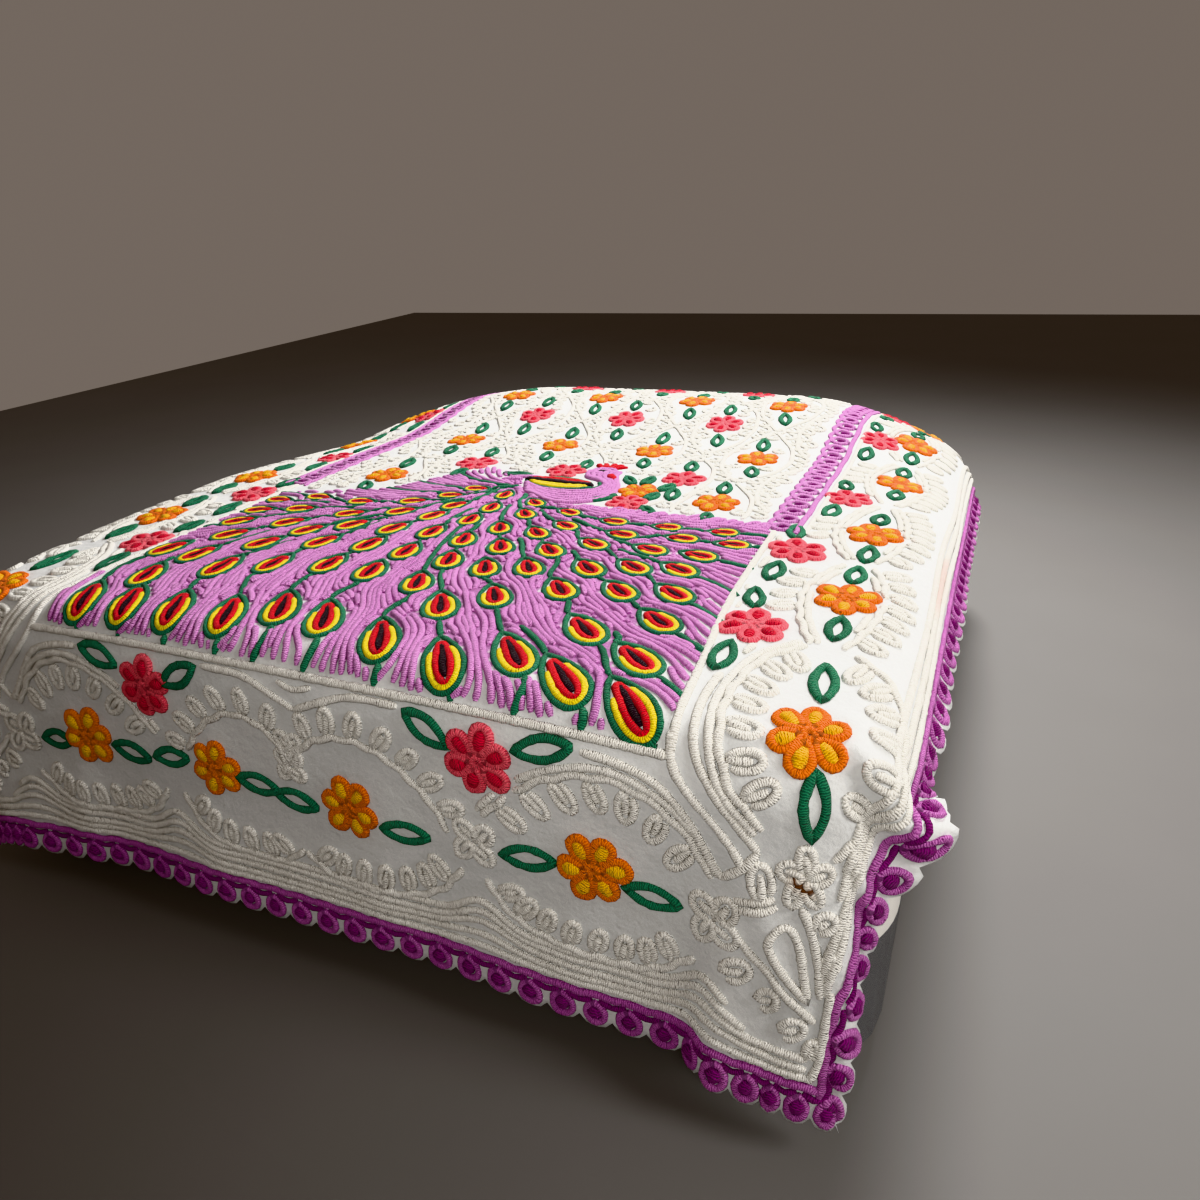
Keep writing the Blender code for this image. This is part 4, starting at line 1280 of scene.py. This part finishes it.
def rope_tree():
    """The node tree that turns chains of edges into ropes."""
    tree = bpy.data.node_groups.new("tufted rope", "GeometryNodeTree")
    for name, kind in (("Geometry", "Geometry"), ("Rise", "Float"), ("Seed", "Int"), ("Yarn", "Material")):
        tree.interface.new_socket(name, in_out="INPUT", socket_type="NodeSocket" + kind)
    tree.interface.new_socket("Geometry", in_out="OUTPUT", socket_type="NodeSocketGeometry")
    graph = Graph(tree)
    chains, rise, seed, yarn = graph.node("NodeGroupInput").all()[:4]
    width = geometry("InputNamedAttribute", graph, {"data_type": "FLOAT"}, _0="width")
    facing = geometry("InputNamedAttribute", graph, {"data_type": "FLOAT_VECTOR"}, _0="facing")
    curve = geometry("MeshToCurve", graph, _0=chains)
    curve = geometry("ResampleCurve", graph, {"mode": "LENGTH"}, _0=curve, _3=SEGMENT)
    curve = geometry("SetCurveNormal", graph, {"mode": "FREE"}, _0=curve, _2=facing)
    share, run = geometry("SplineParameter", graph).all()[:2]
    to_end = run.smaller(geometry("SplineLength", graph) - run) + geometry("InputSplineCyclic", graph)
    wobble = graph.node("FunctionNodeRandomValue", {"data_type": "FLOAT"}, {2: -1.0, 3: 1.0, 8: seed}, 1)
    size = width * 0.5 * to_end.between(0.0, 0.0065, 0.62, 1.0) * (wobble * UNEVENNESS + 1.0)
    curve, along = captured(graph, curve, "run", run)
    ring = geometry("CurvePrimitiveCircle", graph, {"mode": "RADIUS"}, _0=SIDES_OF_OVAL, _4=1.0)
    x, y = graph.parts(geometry("InputPosition", graph))[:2]
    oval = graph.node("ShaderNodeCombineXYZ", None, {0: y * rise + SINK, 1: x})
    ring, across = captured(graph, geometry("SetPosition", graph, _0=ring, _2=oval), "across", share)
    rope = geometry("CurveToMesh", graph, _0=curve, _1=ring, _2=size, _3=True)
    rope = geometry("SetShadeSmooth", graph, _0=rope, _2=True)
    place = graph.node("ShaderNodeCombineXYZ", None, {0: across, 1: along})
    rope = geometry("StoreNamedAttribute", graph, {"data_type": "FLOAT_VECTOR", "domain": "POINT"},
                    _0=rope, _2="rope_place", _3=place)
    rope = geometry("RealizeInstances", graph, _0=rope)
    rope = geometry("SetMaterial", graph, _0=rope, _2=yarn)
    tree.links.new(rope.socket, tree.nodes.new("NodeGroupOutput").inputs[0])
    return tree


ropes_tree = rope_tree()
print("rope tree:", len(ropes_tree.nodes), "nodes")


# %% [markdown]
# ## Finishes
#
# Every finish is a node tree of the same kind, with one Principled shader at its end.

# %% What the finishes share
class Finish(Graph):
    """A material with one Principled shader, and short ways to feed it."""

    def __init__(self, name, roughness, **constants):
        self.material = bpy.data.materials.new(name)
        self.material.use_nodes = True
        super().__init__(self.material.node_tree)
        self.shader = self.tree.nodes["Principled BSDF"]
        for key, value in {"Roughness": roughness, **constants}.items():
            self.shader.inputs[key.replace("_", " ")].default_value = value

    def attribute(self, name, output="Vector"):
        return self.node("ShaderNodeAttribute", {"attribute_name": name}, output=output)

    def spot(self):
        return self.node("ShaderNodeTexCoord", output="Object")

    def noise(self, vector, scale, detail=2.0, roughness=0.5):
        return self.node("ShaderNodeTexNoise", None, {"Vector": vector, "Scale": scale, "Detail": detail,
                                                      "Roughness": roughness})

    def mix(self, share, low, high):
        return self.node("ShaderNodeMix", {"data_type": "RGBA"}, {0: share, 6: low, 7: high}, 2)

    def bump(self, height, distance, strength=1.0, **normal):
        sockets = {"Height": height, "Distance": distance, "Strength": strength, **normal}
        return self.node("ShaderNodeBump", None, sockets)

    def feed(self, **links):
        for name, value in links.items():
            self.tree.links.new(value.socket, self.shader.inputs[name.replace("_", " ")])
        return self.material


def rgb(red, green, blue):
    """A colour given as it looks on a screen, 0 to 255, made linear."""
    shares = (c / 255 for c in (red, green, blue))
    return (*(((c + 0.055) / 1.055)**2.4 if c > 0.04 else c / 12.92 for c in shares), 1.0)


print("finish helpers ready")

# %% [markdown]
# The yarn is cut cotton pile.  Its tufts sit side by side along the rope, so the
# relief is a row of small ribs, broken up by the fuzz of single threads.  The colour
# is deeper between the ribs, where less light gets in, and lighter where threads
# stand out.  A small brown stain and a faint pink one are washed into the whites.

# %% Stains shared by yarn and sheeting
RUST_PLACE, PINK_PLACE, LEAN_COS, LEAN_SIN = (0.878, -1.143), (0.958, -0.33), 0.97, 0.24


def ellipse(x, y, x_rate, y_rate):
    """1 on the rim of an ellipse and less inside it."""
    return (x * x_rate).squared() + (y * y_rate).squared()


def stains(finish, base, place):
    """The base colour with a small brown stain, its halo, and a faint pink one."""
    s, t = finish.parts(place)[:2]
    grain = finish.noise(place, 260.0, 3.0)
    ds, dt = s - RUST_PLACE[0], t - RUST_PLACE[1]
    along, across = ds * LEAN_COS + dt * -LEAN_SIN, ds * LEAN_SIN + dt * LEAN_COS
    rust = (1.25 - ellipse(along, across, 36.0, 165.0) - grain * 1.05).between(0.0, 0.42)
    halo = (1.0 - ellipse(along, across, 22.0, 60.0)).between(0.0, 1.0) * 0.28
    faint = (1.0 - ellipse(s - PINK_PLACE[0], t - PINK_PLACE[1], 62.0, 6.0)).between(0.0, 1.0) * 0.3
    for share, colour in ((faint, (240, 176, 160)), (halo, (190, 150, 110)), (rust, (92, 50, 18))):
        base = finish.mix(share, base, rgb(*colour))
    return base


# %% Chenille yarn
RIB_RATE, PILE_DEPTH = 1850.0, 0.0027


def chenille(name, deep, light, stained):
    """Cut pile that runs from a deep tone to a light one."""
    finish = Finish(name, 0.92, Sheen_Weight=0.1, Sheen_Roughness=0.5, Specular_IOR_Level=0.15)
    run = finish.parts(finish.attribute("rope_place"))[1]
    tone = finish.attribute("tone", "Fac")
    spot = finish.spot()
    fuzz = finish.noise(spot, 620.0, 4.0, 0.7)
    ribs = (run * RIB_RATE + finish.noise(spot, 190.0) * 10.0).sine() * 0.5 + 0.5
    relief = ribs * 0.5 + fuzz * 0.5
    light_share = relief + finish.noise(spot, 22.0) * 0.24 + tone * 0.14 - 0.2
    # Partly the yarn's own uneven colour (tone and mottling), partly painted light: the deep tone is painted
    # shade in the grooves between ribs and fuzz, and the light tone is a painted highlight on their tops.
    colour = finish.mix(light_share.between(0.05, 0.85), rgb(*deep), rgb(*light))
    if stained:
        colour = stains(finish, colour, finish.attribute("flat_place"))
    return finish.feed(Base_Color=colour, Normal=finish.bump(relief, PILE_DEPTH))


# Each yarn is a deep tone and a light one; the deep tone also serves as painted shade between the ribs.
WHITE = ((214, 210, 200), (253, 252, 247))
YARNS = {
    "white_field": WHITE, "white_side": WHITE, "white_foot": WHITE,
    "orchid": ((154, 80, 146), (224, 156, 214)), "orchid_hem": ((140, 62, 130), (206, 126, 194)),
    "plum": ((76, 8, 66), (136, 34, 118)), "green": ((4, 56, 38), (54, 132, 96)),
    "orange": ((190, 70, 0), (244, 128, 14)), "gold": ((204, 126, 0), (250, 196, 26)),
    "pink": ((210, 64, 84), (250, 122, 134)), "crimson": ((140, 0, 24), (212, 26, 56)),
    "yellow": ((218, 180, 0), (254, 234, 50)), "red": ((150, 0, 16), (222, 24, 40)),
    "black": ((8, 2, 6), (44, 16, 30)),
}
print("yarns:", len(YARNS))

# %% Ropes of every yarn
ropes = []
inputs = {item.name: item.identifier for item in ropes_tree.interface.items_tree if item.in_out == "INPUT"}
for number, (yarn, rows) in enumerate(sorted(lines.items())):
    chains = yarn_chains("chains_" + yarn, rows)
    maker = chains.modifiers.new("rope", "NODES")
    maker.node_group = ropes_tree
    maker[inputs["Seed"]] = 11 + number
    maker[inputs["Rise"]] = FIELD_RISE if yarn == "white_field" else RISE
    maker[inputs["Yarn"]] = chenille("chenille_" + yarn, *YARNS[yarn], yarn.startswith("white"))
    bpy.context.view_layer.update()
    mesh = bpy.data.meshes.new_from_object(chains.evaluated_get(bpy.context.evaluated_depsgraph_get()))
    mesh.name = "rope_" + yarn
    bpy.data.objects.remove(chains)
    ropes.append(placed(mesh.name, mesh))
triangles = {rope.name: sum(len(p.vertices) - 2 for p in rope.data.polygons) for rope in ropes}
print("triangles:", triangles, "in all", sum(triangles.values()))

# %% [markdown]
# The sheeting between the ropes is thin plain-weave cotton, washed many times.  It
# shows a fine weave close up and soft puckers further off, where the tufting has
# drawn it together.  Under the dense rows of the fan it takes on their colour.


# %% Cotton sheeting
def woven(x, y, wander):
    """Threads that cross each other, as one number."""
    return (x + wander).sine() * (y + wander).sine()


def sheeting():
    """White plain-weave cotton."""
    finish = Finish("cotton_sheeting", 0.88, Sheen_Weight=0.2, Sheen_Roughness=0.6, Specular_IOR_Level=0.2)
    place = finish.node("ShaderNodeUVMap", {"uv_map": "flat_cloth"})
    s, t = finish.parts(place)[:2]
    weave = woven(s * 5200.0, t * 5200.0, finish.noise(place, 90.0) * 4.0)
    pucker = finish.noise(place, 34.0, 3.0, 0.55)
    fine = finish.noise(place, 150.0, 2.0, 0.6)
    worn = finish.noise(place, 6.0, 3.0)
    shade = (weave * 0.1 + worn * 0.55 + fine * 0.35).between(0.15, 0.75)
    colour = finish.mix(shade, rgb(198, 200, 200), rgb(222, 223, 222))
    covered = finish.attribute("pile_cover", "Fac").between(0.3, 0.9)
    colour = finish.mix(covered, colour, finish.mix(fine, rgb(138, 74, 132), rgb(188, 120, 180)))
    colour = stains(finish, colour, place)
    ridge = (1.0 - (finish.noise(place, 24.0) * 2.0 - 1.0).squared() * 12.0).between(0.0, 1.0)
    normal = finish.bump(pucker * 0.7 + fine * 0.22 + ridge * 0.13, 0.0054, 0.8)
    return finish.feed(Base_Color=colour, Normal=finish.bump(weave, 0.0003, 0.5, Normal=normal))


sheet.data.materials.append(sheeting())
for piece in [sheet] + ropes:
    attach(piece, "root")
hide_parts("bedspread")
print("sheet is laid on the mattress with", len(ropes), "yarns")

# %% [markdown]
# ## The bed underneath
#
# The mattress and its base only carry the cloth.  Their solids are right as they are
# and get plain cloth finishes, and the feet a dull moulded plastic.


# %% Mattress ticking, base fabric and plastic
def plain_cloth(name, low, high, pitch, roughness):
    """Cloth of one colour, woven from threads at this pitch."""
    finish = Finish(name, roughness, Sheen_Weight=0.25, Specular_IOR_Level=0.2)
    spot = finish.spot()
    x, y, z = finish.parts(spot)
    wander = finish.noise(spot, 60.0)
    turns = 2 * math.pi / pitch
    threads = woven((x + y) * turns, z * turns, wander * 3.0)
    mottle = finish.noise(spot, 9.0, 3.0)
    colour = finish.mix((threads * 0.25 + mottle * 0.6 + 0.15).between(0.1, 0.9), low, high)
    return finish.feed(Base_Color=colour, Normal=finish.bump(threads * 0.6 + wander * 0.4, 0.0006, 0.7))


def moulded_plastic(name, low, high):
    """Dull plastic with a fine grain."""
    finish = Finish(name, 0.5)
    spot = finish.spot()
    scuff = finish.noise(spot, 40.0, 4.0)
    return finish.feed(Base_Color=finish.mix(scuff.between(0.35, 0.7), low, high),
                       Roughness=scuff * 0.2 + 0.42,
                       Normal=finish.bump(finish.noise(spot, 900.0), 0.0003, 0.4))


finishes = {
    "mattress": plain_cloth("mattress_ticking", rgb(206, 203, 196), rgb(232, 230, 224), 0.003, 0.88),
    "bed_base": plain_cloth("base_fabric", rgb(34, 34, 37), rgb(62, 62, 66), 0.0024, 0.95),
    "foot": moulded_plastic("foot_plastic", rgb(26, 26, 27), rgb(48, 48, 50)),
}
for name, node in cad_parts.items():
    for key, finish in finishes.items():
        if name.startswith(key):
            node.data.materials.clear()
            node.data.materials.append(finish)
print("bed finishes:", ", ".join(finishes))

# %% [markdown]
# ## Floor, light and camera
#
# Most light falls from above and a little from behind, so the top is bright and the
# cloth that hangs at the foot lies in soft shade.  A narrow lamp reaches the corner.

# %% Floor
floor = to_mesh("floor", [(-6, -6, 0), (6, -6, 0), (6, 8, 0), (-6, 8, 0)], [(0, 1, 2, 3)])
matt = Finish("grey_floor", 0.75)
mottled = matt.mix(matt.noise(matt.spot(), 1.5, 4.0) * 0.5, rgb(104, 102, 100), rgb(118, 116, 114))
floor.data.materials.append(matt.feed(Base_Color=mottled))


# %% Lights
def turn_about(axis, degrees):
    return Matrix.Rotation(math.radians(degrees), 4, axis)


def soft_light(name, place, aim, size, power, colour, spread=180.0):
    """A round lamp at a place, aimed at a point, its light spread over this many degrees."""
    light = bpy.data.lights.new(name, "AREA")
    light.shape, light.size, light.energy, light.color = "DISK", size, power, colour
    light.spread = math.radians(spread)
    x, y, z = (p - q for p, q in zip(place, aim))
    tilt, heading = math.degrees(math.atan2(math.hypot(x, y), z)), math.degrees(math.atan2(y, x))
    lamp = placed(name, light)
    lamp.matrix_world = Matrix.Translation(place) @ turn_about("Z", heading) @ turn_about("Y", tilt)


soft_light("sky", (0.8, 1.9, 2.9), (0.0, 0.0, 0.6), 1.1, 208, (1.0, 0.99, 0.98))
soft_light("side", (3.2, -0.9, 2.1), (0.6, -0.6, 0.5), 1.2, 62, (1.0, 0.98, 0.95))
soft_light("front", (1.3, -2.6, 1.9), (0.75, -1.0, 1.0), 0.8, 6.5, (1.0, 0.97, 0.93), 80.0)
world = bpy.data.worlds.new("studio")
bpy.context.scene.world = world
world.use_nodes = True
colour, strength = world.node_tree.nodes["Background"].inputs[:2]
colour.default_value, strength.default_value = (1.0, 0.84, 0.73, 1), 0.21
bpy.context.scene.view_settings.view_transform = "Khronos PBR Neutral"
print("lights:", len(bpy.data.lights))

# %% Camera
lens = bpy.data.cameras.new("camera")
lens.lens, lens.sensor_width, lens.sensor_height, lens.sensor_fit = 26.7, 36.0, 36.0, "HORIZONTAL"
lens.clip_start = 0.02
camera = placed("camera", lens)
camera.matrix_world = (Matrix.Translation((1.004, -1.93, 1.307)) @ turn_about("Z", 24.9)
                       @ turn_about("X", 65.3) @ turn_about("Z", -3.16))
bpy.context.scene.camera = camera
print("camera at", [round(v, 3) for v in camera.matrix_world.translation])
